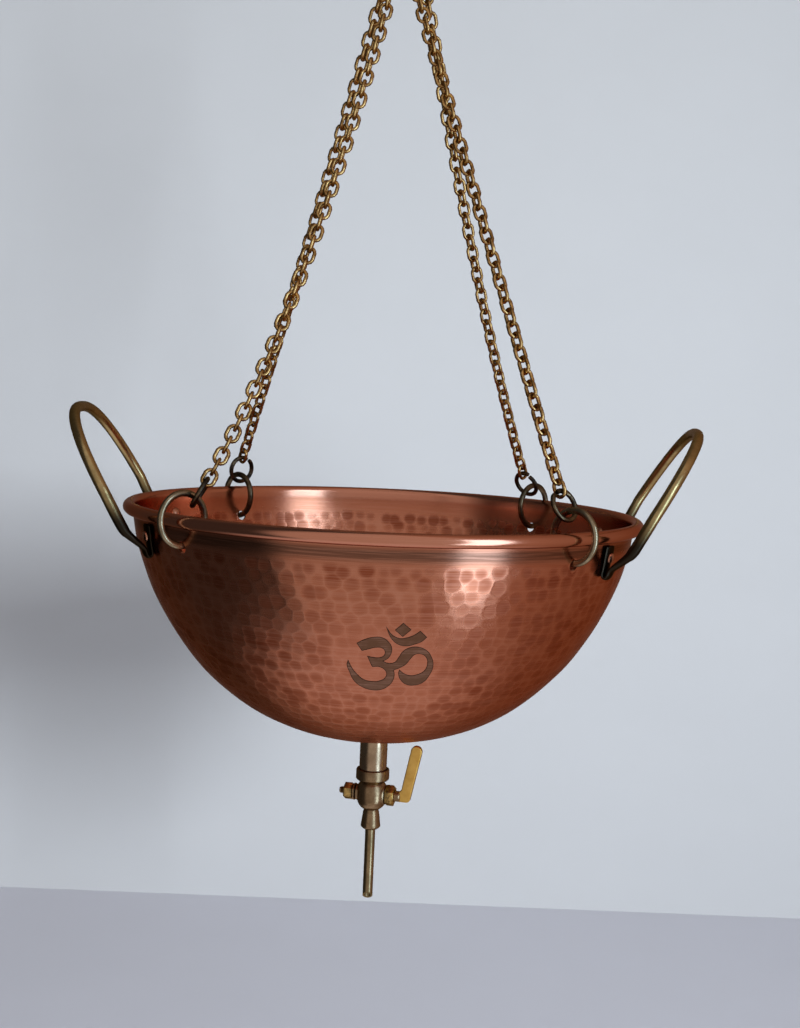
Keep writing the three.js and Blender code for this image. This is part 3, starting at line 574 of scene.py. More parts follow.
class Finishes:
    """Every finish on the pot, each built once and kept under its name."""

    copper = HammeredCopper()
    wire = AgedMetal("rim_wire", (0.6, 0.3, 0.19), (0.2, 0.1, 0.06), 0.5, 0.4)
    rivet = AgedMetal("rivet_copper", (0.82, 0.45, 0.33), (0.45, 0.19, 0.11), 0.4, 0.25, patch=3.0)
    # The handle's feet more than 4 mm under the rim's middle get painted shade through painted_shade_under.
    handle = AgedMetal(
        "antique_brass", (0.66, 0.52, 0.26), (0.34, 0.25, 0.11), 0.45, 0.2,
        patch=12.0, blend=0.3, scratch=(0.35, 0.35, 6.0), painted_shade_under=-4.0,
    )
    dark = AgedMetal(
        "dark_brass", (0.46, 0.33, 0.2), (0.22, 0.15, 0.085), 0.5, 0.22, patch=5.0, blend=0.3,
        scratch=(3.0, 3.0, 0.3), depth=0.006,
    )
    pipe = AgedMetal(
        "pipe_brass", (0.56, 0.43, 0.3), (0.36, 0.26, 0.17), 0.35, 0.2,
        patch=8.0, blend=0.3, scratch=(3.0, 3.0, 0.25), depth=0.008,
    )
    tube = AgedMetal(
        "tube_brass", (0.45, 0.34, 0.2), (0.2, 0.155, 0.08), 0.45, 0.24,
        patch=6.0, blend=0.3, scratch=(0.3, 0.3, 5.0), green=0.5,
    )
    ring = AgedMetal("ring_brass", (0.5, 0.43, 0.3), (0.2, 0.165, 0.11), 0.45, 0.22, patch=5.0, blend=0.3)
    # Painted shade: a darker copy of ring_brass for the rim rings at the back.
    painted_shade_ring = AgedMetal(
        "painted_shade_brass", (0.28, 0.22, 0.14), (0.05, 0.045, 0.035), 0.55, 0.26, patch=5.0, blend=0.3,
    )
    black = AgedMetal("blackened_brass", (0.26, 0.2, 0.12), (0.035, 0.03, 0.028), 0.62, 0.26, patch=4.0)
    chain = AgedMetal(
        "chain_brass", (0.8, 0.54, 0.23), (0.24, 0.12, 0.035), 0.42, 0.19, patch=3.0, depth=0.005,
    )
    yellow = AgedMetal(
        "yellow_brass", (1.0, 0.68, 0.2), (0.8, 0.48, 0.1), 0.3, 0.3,
        patch=9.0, blend=0.3, scratch=(0.3, 0.3, 4.0), depth=0.005,
    )
    nut = AgedMetal("nut_brass", (0.85, 0.6, 0.22), (0.16, 0.11, 0.05), 0.42, 0.24, patch=3.0)
    solder = AgedMetal("solder", (0.3, 0.19, 0.12), (0.12, 0.07, 0.045), 0.5, 0.45, patch=1.6, depth=0.06)
    sign = EtchedSign("sign_face", (0.17, 0.085, 0.05), (0.34, 0.19, 0.14), 0.3)
    sign_edge = EtchedSign("sign_edge", (0.05, 0.022, 0.015), (0.1, 0.045, 0.03), 0.4)

    _built: dict[str, bpy.types.Material] = {}

    @classmethod
    def get(cls, finish: Finish) -> bpy.types.Material:
        """Build a finish the first time that it is asked for.

        Args:
            finish: One of the finishes above.

        Returns:
            Its material.
        """
        if finish.name not in cls._built:
            cls._built[finish.name] = finish.build()
        return cls._built[finish.name]


# ---- Shaping ----


def polar(azimuth: float, distance: float, height: float) -> Vector:
    """Give a point by its azimuth in degrees from +X towards +Y, its distance out and its height."""
    angle = math.radians(azimuth)
    return Vector((distance * math.cos(angle), distance * math.sin(angle), height))


def axes_matrix(origin: Vector, x_axis: Vector, y_axis: Vector, z_axis: Vector) -> Matrix:
    """Put an origin and the directions that X, Y and Z get, with their scales, into one matrix."""
    turned = Matrix((x_axis, y_axis, z_axis)).transposed().to_4x4()
    return Matrix.Translation(origin) @ turned


def square_to(vector: Vector, along: Vector) -> Vector:
    """Give the direction nearest to a vector that is square to another direction."""
    return (vector - along * vector.dot(along)).normalized()


def circle(radius: float, steps: int, centre: Point = (0.0, 0.0)) -> list[Point]:
    """Give the corners of a circle in the (radius, height) plane, counter-clockwise."""
    angles = [2 * math.pi * i / steps for i in range(steps)]
    return [(centre[0] + radius * math.cos(a), centre[1] + radius * math.sin(a)) for a in angles]


def share_of(value: float, length: float) -> float:
    """Give how far a value is along a length, from 0 to 1."""
    return min(max(value / length, 0.0), 1.0)


def only(kind: type, geometry: Iterable[object]) -> list:
    """Pick one kind of element out of an operator's result."""
    return [item for item in geometry if isinstance(item, kind)]


def faces_of(verts: Iterable[Vert]) -> list[Face]:
    """List the faces at some vertices, each once."""
    return list(dict.fromkeys(face for vert in verts for face in vert.link_faces))


def edges_of(verts: Iterable[Vert]) -> list[Edge]:
    """List the edges at some vertices, each once."""
    return list(dict.fromkeys(edge for vert in verts for edge in vert.link_edges))


def in_scene(name: str, data: bpy.types.ID) -> bpy.types.Object:
    """Make an object of a mesh, a curve, a lamp or a camera and put it in the scene.

    Args:
        name: The object's name.
        data: What it shows.

    Returns:
        The object.
    """
    made = bpy.data.objects.new(name, data)
    bpy.context.scene.collection.objects.link(made)
    return made


@dataclass(frozen=True)
class Station:
    """One place along a bent bar.

    Attributes:
        middle: The bar's middle there.
        across: The direction of its width.
        width: Its size along that direction.
        thickness: Its size square to that direction.
    """

    middle: Vector
    across: Vector
    width: float
    thickness: float

    @classmethod
    def of_wire(cls, middle: Vector, across: Vector, size: float) -> "Station":
        """Give a place along a round wire."""
        return cls(middle, across, size, size)

    def turned_over(self) -> "Station":
        """Give the same place with its width reversed, which leaves the section as it is."""
        return replace(self, across=-self.across)


class Shape:
    """A mesh under construction, in millimetres about the middle of the rim."""

    def __init__(self, name: str) -> None:
        """Start an empty shape, with the finished piece's name."""
        self.name = name
        self.bm = bmesh.new()

    def since(self, before: set[Vert]) -> list[Vert]:
        """List the vertices that weren't there before."""
        return [vert for vert in self.bm.verts if vert not in before]

    def turned(
        self, outline: Sequence[Point], steps: int, place: Matrix | None = None, closed: bool = False
    ) -> list[Vert]:
        """Turn an outline of (radius, height) points about Z.

        Args:
            outline: The outline, which starts and ends on the axis unless it is closed.
            steps: How many steps the turn has.
            place: Where the turned form then goes.
            closed: Whether the outline runs back to its start, as a ring's does.

        Returns:
            The new vertices.
        """
        before = set(self.bm.verts)
        verts = [self.bm.verts.new((radius, 0.0, height)) for radius, height in outline]
        pairs = list(zip(verts, verts[1:]))
        if closed:
            pairs.append((verts[-1], verts[0]))
        edges = [self.bm.edges.new(pair) for pair in pairs]
        bmesh.ops.spin(
            self.bm, geom=verts + edges, cent=(0, 0, 0), axis=(0, 0, 1), dvec=(0, 0, 0),
            angle=2 * math.pi, steps=steps, use_merge=True, use_duplicate=False,
        )
        bmesh.ops.remove_doubles(self.bm, verts=self.since(before), dist=1e-5)
        made = self.since(before)
        if place is not None:
            bmesh.ops.transform(self.bm, matrix=place, verts=made)
        bmesh.ops.recalc_face_normals(self.bm, faces=faces_of(made))
        return made

    def swept(self, stations: Sequence[Station], sides: int, closed: bool = False) -> list[Vert]:
        """Draw a round or oval section along stations.

        Args:
            stations: The places along the bar.
            sides: How many sides the section has.
            closed: Whether the bar runs back to its start.

        Returns:
            The new vertices.
        """
        count = len(stations)
        places = []
        for i, station in enumerate(stations):
            if closed:
                before, after = stations[i - 1], stations[(i + 1) % count]
            else:
                before, after = stations[max(i - 1, 0)], stations[min(i + 1, count - 1)]
            along = (after.middle - before.middle).normalized()
            wide = square_to(station.across, along)
            thick = along.cross(wide) * station.thickness
            places.append(axes_matrix(station.middle, wide * station.width, thick, along))
        made = bmesh.ops.create_circle(
            self.bm, cap_ends=False, segments=sides, radius=0.5, matrix=places[0]
        )["verts"]
        ring = first = edges_of(made)
        for i in range(1, count):
            grown = bmesh.ops.extrude_edge_only(self.bm, edges=ring)["geom"]
            verts, ring = only(Vert, grown), only(Edge, grown)
            bmesh.ops.transform(self.bm, matrix=places[i] @ places[i - 1].inverted(), verts=verts)
            made += verts
        if closed:
            bmesh.ops.bridge_loops(self.bm, edges=first + ring)
        else:
            bmesh.ops.contextual_create(self.bm, geom=first)
            bmesh.ops.contextual_create(self.bm, geom=ring)
        bmesh.ops.recalc_face_normals(self.bm, faces=faces_of(made))
        return made

    def prism(
        self, outline: Sequence[Point], thickness: float, place: Matrix, round_off: float, segments: int = 2
    ) -> None:
        """Cut a plate from an outline and round its edges off.

        Args:
            outline: The plate's corners in its own XY plane, counter-clockwise.
            thickness: The plate's thickness, half on each side of that plane.
            place: Where the plate goes.
            round_off: The radius of its edges.
            segments: How many steps a rounded edge has.
        """
        before = set(self.bm.verts)
        verts = [self.bm.verts.new((x, y, -thickness / 2)) for x, y in outline]
        face = self.bm.faces.new(verts)
        grown = bmesh.ops.extrude_face_region(self.bm, geom=[face])["geom"]
        bmesh.ops.translate(self.bm, vec=(0, 0, thickness), verts=only(Vert, grown))
        faces = faces_of(self.since(before))
        bmesh.ops.recalc_face_normals(self.bm, faces=faces)
        flats = (face for face in faces if abs(face.normal.z) > 0.9)
        edges = list(dict.fromkeys(edge for face in flats for edge in face.edges))
        bmesh.ops.bevel(
            self.bm, geom=edges, offset=round_off, offset_type="OFFSET", segments=segments,
            profile=0.5, affect="EDGES", material=-1, clamp_overlap=True,
        )
        bmesh.ops.transform(self.bm, matrix=place, verts=self.since(before))

    def placed(self) -> bpy.types.Object:
        """Put the shape into the frame.

        Returns:
            Its object, whose place is in its mesh.
        """
        into_frame = Matrix.Scale(METRES, 4) @ Matrix.Translation((0, 0, RIM_HEIGHT))
        bmesh.ops.transform(self.bm, matrix=into_frame, verts=self.bm.verts)
        mesh = bpy.data.meshes.new(self.name)
        self.bm.to_mesh(mesh)
        self.bm.free()
        return in_scene(self.name, mesh)

    def finish(
        self, finish: Finish, body: str, slot: str, replaces: Iterable[str] = (), crease: float = 38.0
    ) -> bpy.types.Object:
        """Turn the shape into a dressed piece of the pot.

        Args:
            finish: The finish that it gets.
            body: The body that it rides on.
            slot: The record's material slot; it is not used.
            replaces: The plain pieces that it stands for.
            crease: The angle in degrees over which an edge stays sharp.

        Returns:
            The finished piece.
        """
        for face in self.bm.faces:
            face.smooth = True
        for edge in self.bm.edges:
            edge.smooth = not (edge.is_manifold and edge.calc_face_angle(0.0) > math.radians(crease))
        piece = self.placed()
        piece.data.materials.append(Finishes.get(finish))
        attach(piece, body)
        if replaces:
            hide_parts(*replaces)
        LOG.info("%s: %d faces, rides on %s", self.name, len(piece.data.polygons), body)
        return piece


def evaluated_mesh(piece: bpy.types.Object) -> bpy.types.Mesh:
    """Give a plain mesh of a piece with its modifiers or its curve settings worked in.

    Args:
        piece: A mesh or curve object.

    Returns:
        A new mesh.
    """
    bpy.context.view_layer.update()
    graph = bpy.context.evaluated_depsgraph_get()
    return bpy.data.meshes.new_from_object(piece.evaluated_get(graph))


def drill(piece: bpy.types.Object, cutter: bpy.types.Object) -> None:
    """Cut one object's form out of a piece and remove the cutter.

    Args:
        piece: The piece that is cut.
        cutter: The tool.
    """
    modifier = piece.modifiers.new("holes", "BOOLEAN")
    modifier.operation = "DIFFERENCE"
    modifier.solver = "EXACT"
    modifier.object = cutter
    mesh = evaluated_mesh(piece)
    piece.modifiers.clear()
    piece.data = mesh
    bpy.data.objects.remove(cutter)


# ---- Bowl ----


@dataclass
class Bowl:
    """The copper bowl: one sheet, spun and hammered, whose rim is rolled outwards over a wire.

    Attributes:
        wall_radius: The radius of the sheet's middle at the rim.
        wall_depth: The depth of the sheet's middle.
        sheet: The sheet's thickness.
        side_fullness: How full the wall is near the rim.
        floor_fullness: How full the floor is.
        roll_radius: The radius of the sheet's middle in the roll.
        roll_end: The angle at which the roll's lip ends.
        hole_radius: The radius of the drain hole.
        steps: How many steps the turn has.
        line_points: How many points the wall's line is worked out at.
        roll_inside: How many points the roll's inner face has.
        roll_outside: How many points its outer face has.
        outer_pitch: The spacing of the outer face's rows.
        inner_pitch: The spacing of the inner face's rows.
        ring_hole: The diameter of the holes for the chains' rings.
        wave: The length of the wall's slight unevenness.
        unevenness: How strong that is.
        sign_height: The height of the sign's middle, round which the marks are nearly polished out.
        sign_aside: How far the sign's middle lies to the right.
        polished: Half the width and height of the patch whose marks are nearly polished out.
        calm: Half the width and height of the patch that stays even under the sign.
        hammered_from: How far down the wall the hammering starts.
        fade: How far it takes to reach its full strength.
        floor_fade: How far from the drain hole it fades out.
        crease_depth: How far down the wall the painted shade in the crease under the roll ends.
    """

    wall_radius: float = 119.58
    wall_depth: float = 108.8
    sheet: float = 1.2
    side_fullness: float = 2.39
    floor_fullness: float = 1.59
    roll_radius: float = 2.36
    roll_end: float = -112.0
    hole_radius: float = 7.1
    steps: int = 256
    line_points: int = 1200
    roll_inside: int = 10
    roll_outside: int = 16
    outer_pitch: float = 2.6
    inner_pitch: float = 3.2
    ring_hole: float = 5.2
    wave: float = 42.0
    unevenness: float = 0.35
    sign_height: float = -52.0
    sign_aside: float = 5.0
    polished: Point = (24.0, 18.0)
    calm: Point = (36.0, 28.0)
    hammered_from: float = 10.2
    fade: float = 2.5
    floor_fade: float = 6.0
    crease_depth: float = 11.0

    def __post_init__(self) -> None:
        """Work out the wall's line once, from the drain hole up to the rim."""
        first = math.asin((self.hole_radius / self.wall_radius) ** (self.side_fullness / 2))
        angle = np.linspace(first, math.pi / 2, self.line_points)
        self.line_radius = self.wall_radius * np.sin(angle) ** (2 / self.side_fullness)
        self.line_height = -self.wall_depth * np.abs(np.cos(angle)) ** (2 / self.floor_fullness)
        pieces = np.hypot(np.diff(self.line_radius), np.diff(self.line_height))
        length = np.concatenate([[0], np.cumsum(pieces)])
        self.arc = length[-1] - length

    def radius(self, drop: float) -> float:
        """Give the outer face's radius at a depth under the rim's middle."""
        share = (1 - (drop / self.wall_depth) ** self.floor_fullness) ** (1 / self.side_fullness)
        return self.wall_radius * share + self.sheet / 2 / math.cos(self.lean(drop))

    def lean(self, drop: float) -> float:
        """Give the wall's slope inwards at a depth, in radians."""
        radii = np.interp([-drop - 0.5, -drop + 0.5], self.line_height, self.line_radius)
        return math.atan(radii[1] - radii[0])

    def offset(self, arc: np.ndarray, distance: float) -> list[Point]:
        """Give points of the wall at a distance outwards from the sheet's middle.

        Args:
            arc: How far down the wall the points are.
            distance: How far outwards they lie.

        Returns:
            The points as (radius, height).
        """
        up = -self.arc
        radius = np.interp(-arc, up, self.line_radius)
        height = np.interp(-arc, up, self.line_height)
        run = np.gradient(radius, arc)
        rise = np.gradient(height, arc)
        size = np.hypot(run, rise)
        return list(zip(radius - distance * rise / size, height + distance * run / size))

    def roll(self, distance: float, count: int) -> list[Point]:
        """Give points of the roll at a distance from the sheet's middle, from the wall to the lip.

        Args:
            distance: How far towards the wire they lie.
            count: How many points there are.

        Returns:
            The points as (radius, height).
        """
        centre = self.wall_radius + self.roll_radius
        radius = self.roll_radius - distance
        angles = np.radians(np.linspace(180, self.roll_end, count + 1)[1:])
        return list(zip(centre + radius * np.cos(angles), radius * np.sin(angles)))

    def outline(self) -> list[Point]:
        """Give the sheet's whole outline.

        Returns:
            The outline, up the outer face, round the roll and down the inner face.
        """
        half = self.sheet / 2
        length = self.arc[0]
        outer = np.linspace(length, 0, int(length / self.outer_pitch) + 1)
        inner = np.linspace(0, length, int(length / self.inner_pitch) + 1)
        inside = self.roll(half, self.roll_inside)
        over = self.roll(-half, self.roll_outside)[::-1]
        return self.offset(outer, half) + inside + over + self.offset(inner, -half)

    def near_sign(self, place: Vector, patch: Point) -> float:
        """Give how well a patch round the sign covers a place.

        Args:
            place: A place on the wall.
            patch: Half the patch's width and height.

        Returns:
            A share from 0 to 1.
        """
        if place.y >= 0:
            return 0.0
        around = math.hypot(place.x, place.y)
        aside = (math.atan2(place.y, place.x) + math.pi / 2) * around - self.sign_aside
        return math.exp(-((aside / patch[0]) ** 4) - ((place.z - self.sign_height) / patch[1]) ** 4)

    def hammered(self, shape: Shape) -> None:
        """Make the wall slightly uneven and note on the mesh where the hammer marks go and where painted
        shade darkens the crease under the roll.

        Args:
            shape: The turned bowl.
        """
        layers = shape.bm.verts.layers.float
        down_wall, marked, crease = (layers.new(name) for name in ("down_wall", "marked", "crease"))
        chance = np.random.default_rng(4)
        waves = [Vector(wave) for wave in chance.normal(0, 1 / self.wave, (9, 3))]
        starts = chance.uniform(0, 2 * math.pi, len(waves))
        length = self.arc[0]
        for vert in shape.bm.verts:
            around = math.hypot(vert.co.x, vert.co.y)
            beside_hole = around <= self.hole_radius + 3
            arc = length if beside_hole else float(np.interp(vert.co.z, self.line_height, self.arc))
            on_wall = share_of(arc - self.hammered_from, self.fade)
            on_wall *= share_of(length - arc, self.floor_fade)
            vert[down_wall] = arc
            vert[marked] = on_wall * (1 - 0.7 * self.near_sign(vert.co, self.polished))
            # painted shade: mark the outer face just under the rolled rim, which the copper's finish
            # darkens
            if -14.0 < vert.co.z < -3.0 and around > self.radius(-vert.co.z) - 0.4:
                vert[crease] = 0.85 * share_of(self.crease_depth - arc, 3.5)
            swell = sum(math.sin(2 * math.pi * vert.co.dot(w) + s) for w, s in zip(waves, starts))
            uneven = (1 - self.near_sign(vert.co, self.calm)) * swell / len(waves)
            push = 1 + on_wall * self.unevenness * uneven / max(around, 20.0)
            vert.co.x *= push
            vert.co.y *= push

    def build(self) -> None:
        """Turn the sheet, hammer it and drill the ring holes."""
        shape = Shape("hammered_bowl")
        shape.turned(self.outline(), self.steps, closed=True)
        self.hammered(shape)
        bowl = shape.finish(Finishes.copper, Body.POT.value, "hammered_copper", ["bowl"])
        drill(bowl, self.hole_cutter())

    def hole_cutter(self) -> bpy.types.Object:
        """Make the tool for the four ring holes.

        Returns:
            The cutter, in the frame's own metres.
        """
        shape = Shape("hole_cutter")
        for leg in LEGS:
            turn = Matrix.Rotation(math.radians(leg.azimuth), 4, "Z")
            lean = Matrix.Rotation(math.pi / 2 + self.lean(leg.hole), 4, "Y")
            at = Matrix.Translation(polar(leg.azimuth, self.radius(leg.hole) - self.sheet / 2, -leg.hole))
            half = 3 * self.sheet
            outline = [(0, -half), (self.ring_hole / 2, -half), (self.ring_hole / 2, half), (0, half)]
            shape.turned(outline, 24, at @ turn @ lean)
        return shape.placed()


@dataclass
class OmSign:
    """The traditional Om sign, etched on the front of the bowl.

    Each outline lists points as (distance to the right along the wall, height), and a point that is
    given a third value of 1 is a sharp corner.

    Attributes:
        bowl: The bowl that it is on.
        stand: How far its face stands over the copper.
        sink: How far its back lies in the sheet.
        edge: The width of the dark line round it.
        finest: The longest edge that its mesh may have.
    """

    bowl: Bowl
    stand: float = 0.05
    sink: float = 0.3
    edge: float = 0.3
    finest: float = 1.0

    DOT = ((9.9, -35.1, 1), (13.1, -37.9, 1), (9.9, -41.0, 1), (6.7, -38.2, 1))
    CRESCENT = (
        (3.3, -37.6, 1), (4.2, -40.0), (5.5, -42.3), (8.4, -44.7), (11.7, -45.3), (15.0, -44.4),
        (17.9, -43.1), (19.8, -41.2, 1), (17.1, -38.5, 1), (14.3, -40.5), (11.6, -41.6), (8.7, -42.0),
        (5.3, -40.3),
    )
    THREE_AND_CURL = (
        (-8.8, -44.9, 1), (-5.8, -43.1), (-2.1, -41.9), (1.7, -42.0), (4.1, -43.7), (5.6, -46.6),
        (5.3, -49.3), (4.0, -51.5), (2.2, -52.7, 1), (3.7, -53.6), (7.0, -53.3), (8.7, -50.8),
        (10.5, -47.8), (13.2, -46.1), (16.5, -45.8), (20.1, -47.3), (22.5, -50.6), (23.4, -54.5),
        (22.2, -59.0), (19.6, -62.8), (16.3, -64.2), (12.8, -64.0), (10.3, -62.0), (9.0, -58.5),
        (9.3, -56.9, 1), (11.1, -58.5), (13.9, -59.5), (16.9, -59.0), (19.7, -57.3), (21.0, -53.9),
        (20.3, -50.6), (18.3, -49.0), (15.7, -49.0), (13.6, -51.2), (11.7, -54.0), (9.3, -55.7),
        (6.8, -56.9, 1), (7.2, -59.2), (6.7, -62.1), (5.0, -64.8), (1.6, -67.0), (-2.3, -67.2),
        (-6.1, -65.9), (-9.6, -62.9), (-11.6, -58.5), (-12.7, -55.2), (-12.3, -53.3, 1),
        (-10.7, -56.7), (-8.2, -60.0), (-5.2, -62.4), (-1.3, -63.0), (1.0, -62.6), (3.4, -61.0),
        (4.0, -58.7), (2.8, -56.5), (0.7, -55.5), (-2.1, -55.6, 1), (-4.2, -50.8, 1), (-1.8, -51.2),
        (1.1, -51.1), (2.7, -49.9), (2.9, -48.0), (1.7, -46.6), (-0.9, -46.4), (-3.9, -47.3),
        (-6.6, -48.2, 1),
    )

    def curve(self, line_only: bool) -> bpy.types.Object:
        """Draw the outlines as a flat curve.

        Args:
            line_only: Whether only a thin line round the sign is wanted, and not its face.

        Returns:
            The curve object.
        """
        data = bpy.data.curves.new("om_curve", "CURVE")
        data.dimensions = "2D"
        data.resolution_u = 5
        data.fill_mode = "NONE" if line_only else "BOTH"
        data.bevel_depth = self.edge / 2 if line_only else 0.0
        data.bevel_resolution = 1
        data.extrude = 0.0 if line_only else self.sink
        for outline in (self.DOT, self.CRESCENT, self.THREE_AND_CURL):
            spline = data.splines.new("BEZIER")
            spline.use_cyclic_u = True
            spline.bezier_points.add(len(outline) - 1)
            for point, at in zip(spline.bezier_points, outline):
                kind = "VECTOR" if len(at) > 2 else "AUTO"
                point.co = (at[0], at[1], 0.0)
                point.handle_left_type = point.handle_right_type = kind
        return in_scene("om_curve", data)

    def refine(self, bm: bmesh.types.BMesh) -> None:
        """Cut long edges until the mesh can follow the wall.

        Args:
            bm: The flat sign.
        """
        bmesh.ops.triangulate(bm, faces=bm.faces)
        for _ in range(6):
            long = [edge for edge in bm.edges if edge.calc_length() > self.finest]
            if not long:
                break
            bmesh.ops.subdivide_edges(bm, edges=long, cuts=1)
            bmesh.ops.triangulate(bm, faces=bm.faces)

    def lay_on(self, bm: bmesh.types.BMesh, lift: Callable[[float], float]) -> None:
        """Bend the flat sign round the wall.

        Args:
            bm: The flat sign, whose X runs to the right and whose Y is the height.
            lift: How far outwards a point with a given Z goes.
        """
        for vert in bm.verts:
            aside, height, over = vert.co
            radius = self.bowl.radius(-height)
            lean = self.bowl.lean(-height)
            azimuth = -90 + math.degrees(aside / radius)
            out = lift(over)
            vert.co = polar(azimuth, radius + out * math.cos(lean), height - out * math.sin(lean))

    def part(
        self, name: str, line_only: bool, finish: Finish, lift: Callable[[float], float]
    ) -> bpy.types.Object:
        """Make the sign's face or the line round it.

        Args:
            name: The piece's name.
            line_only: Whether it is the line.
            finish: Its finish.
            lift: How far outwards a point with a given Z goes.

        Returns:
            The finished piece.
        """
        drawn = self.curve(line_only)
        mesh = evaluated_mesh(drawn)
        bpy.data.objects.remove(drawn)
        shape = Shape(name)
        shape.bm.from_mesh(mesh)
        bpy.data.meshes.remove(mesh)
        bmesh.ops.remove_doubles(shape.bm, verts=shape.bm.verts, dist=1e-4)
        self.refine(shape.bm)
        self.lay_on(shape.bm, lift)
        bmesh.ops.recalc_face_normals(shape.bm, faces=shape.bm.faces)
        return shape.finish(finish, Body.POT.value, "hammered_copper")

    def build(self) -> None:
        """Make the sign's face and the line round it."""
        self.part("om_sign", False, Finishes.sign, lambda z: self.stand if z > 0 else -self.sink)
        self.part("om_sign_line", True, Finishes.sign_edge, lambda z: self.stand + 0.35 * z)


# ---- Rings and chains ----


@dataclass(frozen=True)
class Leg:
    """One of the four chains, with the rings at its ends.

    Attributes:
        corner: Where it is.
        azimuth: The direction of its hole.
        hole: How far the hole is under the rim's middle.
        sag: How far the chain sags.
        top: The middle of its top ring.
        top_across: The direction across that ring, square to the pull.
        top_pull: The direction of the chain's pull on that ring.
        runs: How many plain runs of links the chain stands for.
    """

    corner: Corner
    azimuth: float
    hole: float
    sag: float
    top: tuple[float, float, float]
    top_across: tuple[float, float, float]
    top_pull: tuple[float, float, float]
    runs: int = 7


LEGS = (
    Leg(
        Corner.FRONT_LEFT, 224.0, 11.4, 20.7, (-4.067, -1.071, 252.241),
        (0.0, -0.90188, 0.43198), (-0.3953, -0.3968, -0.8284),
    ),
    Leg(
        Corner.FRONT_RIGHT, 313.3, 11.4, 0.3, (2.765, -0.833, 251.885),
        (0.0, -0.94671, 0.3221), (0.2835, -0.3089, -0.9079),
    ),
    Leg(
        Corner.BACK_LEFT, 132.0, 13.0, 1.7, (-9.132, 0.909, 253.899),
        (-0.23285, -0.93193, -0.27802), (-0.2713, 0.3368, -0.9017),
    ),
    Leg(
        Corner.BACK_RIGHT, 46.3, 12.4, 11.8, (7.056, 0.974, 252.972),
        (0.19717, -0.92961, -0.31137), (0.3173, 0.361, -0.8769),
    ),
)


@dataclass
class RimRings:
    """The ring in each rim hole and the cut jump ring that joins it to the chain.

    Attributes:
        ring_radius: The rim ring's middle radius.
        ring_wire: The rim ring's wire.
        jump_radius: The jump ring's middle radius.
        jump_wire: The jump ring's wire.
        cut: The angle of the jump ring's cut.
        sprung: How far the cut's ends are sprung past each other.
        cut_at: Where the cut is, as an angle from the ring's own X.
        cut_end: The thickness of the cut's ends as a share of the wire's.
        ring_steps: How many steps round and how many sides the rim ring has.
        jump_steps: The same for the jump ring.
    """

    ring_radius: float = 11.3
    ring_wire: float = 3.0
    jump_radius: float = 6.6
    jump_wire: float = 2.3
    cut: float = 9.0
    sprung: float = 0.9
    cut_at: float = 123.0
    cut_end: float = 0.86
    ring_steps: tuple[int, int] = (56, 12)
    jump_steps: tuple[int, int] = (44, 10)

    def joint(self, name: str) -> tuple[Vector, Vector]:
        """Read where a ring turns.

        Args:
            name: The joint's name.

        Returns:
            The ring's middle and the direction of its axis.
        """
        found = next(joint for joint in FRAME["joints"] if joint["name"] == name)
        middle = Vector(found["pos_m"]) / METRES - Vector((0, 0, RIM_HEIGHT))
        return middle, Vector(found["axis"]).normalized()

    def open_ring(self, name: str, middle: Vector, across: Vector, pull: Vector, cut_at: float) -> Shape:
        """Bend a cut ring.

        Args:
            name: The piece's name.
            middle: The ring's middle.
            across: The ring's own X.
            pull: The ring's own Y.
            cut_at: Where its cut is, in degrees from its own X.

        Returns:
            The ring's shape.
        """
        normal = across.cross(pull)
        stations = []
        count, sides = self.jump_steps
        for i in range(count + 1):
            share = i / count
            angle = math.radians(cut_at + self.cut / 2 + share * (360 - self.cut))
            out = across * math.cos(angle) + pull * math.sin(angle)
            at = middle + out * self.jump_radius + normal * self.sprung * (share - 0.5)
            thin = self.cut_end if i in (0, count) else 1.0
            stations.append(Station.of_wire(at, normal, self.jump_wire * thin))
        shape = Shape(name)
        shape.swept(stations, sides)
        return shape

    def build(self) -> None:
        """Make all the rings at the rim and at the gather ring."""
        steps, sides = self.ring_steps
        section = circle(self.ring_wire / 2, sides, (self.ring_radius, 0.0))
        for leg in LEGS:
            corner = leg.corner.value
            middle, axis = self.joint(f"{corner}_rim_ring_turn")
            shape = Shape(f"{corner}_rim_ring_round")
            upright = axis.cross(Vector((0, 0, 1)))
            place = axes_matrix(middle, upright, upright.cross(axis) * -1, axis)
            shape.turned(section, steps, place, closed=True)
            front = leg.corner in (Corner.FRONT_LEFT, Corner.FRONT_RIGHT)
            # The rings at the back get a darker copy of the ring's finish: painted shade.
            finish = Finishes.ring if front else Finishes.painted_shade_ring
            shape.finish(finish, f"{corner}_rim", "dark_brass", [f"{corner}_rim_ring"])
            jump_middle, jump_axis = self.joint(f"{corner}_jump_ring_turn")
            pull = (jump_middle - middle).normalized()
            across = pull.cross(jump_axis)
            jump = self.open_ring(f"{corner}_jump_ring_cut", jump_middle, across, pull, self.cut_at)
            jump.finish(Finishes.black, f"{corner}_jump", "blackened_brass", [f"{corner}_jump_ring"])
            top_place = (Vector(leg.top), Vector(leg.top_across), Vector(leg.top_pull))
            top = self.open_ring(f"{corner}_top_ring_cut", *top_place, 180.0)
            top.finish(Finishes.ring, Body.POT.value, "dark_brass", [f"{corner}_top_ring"])


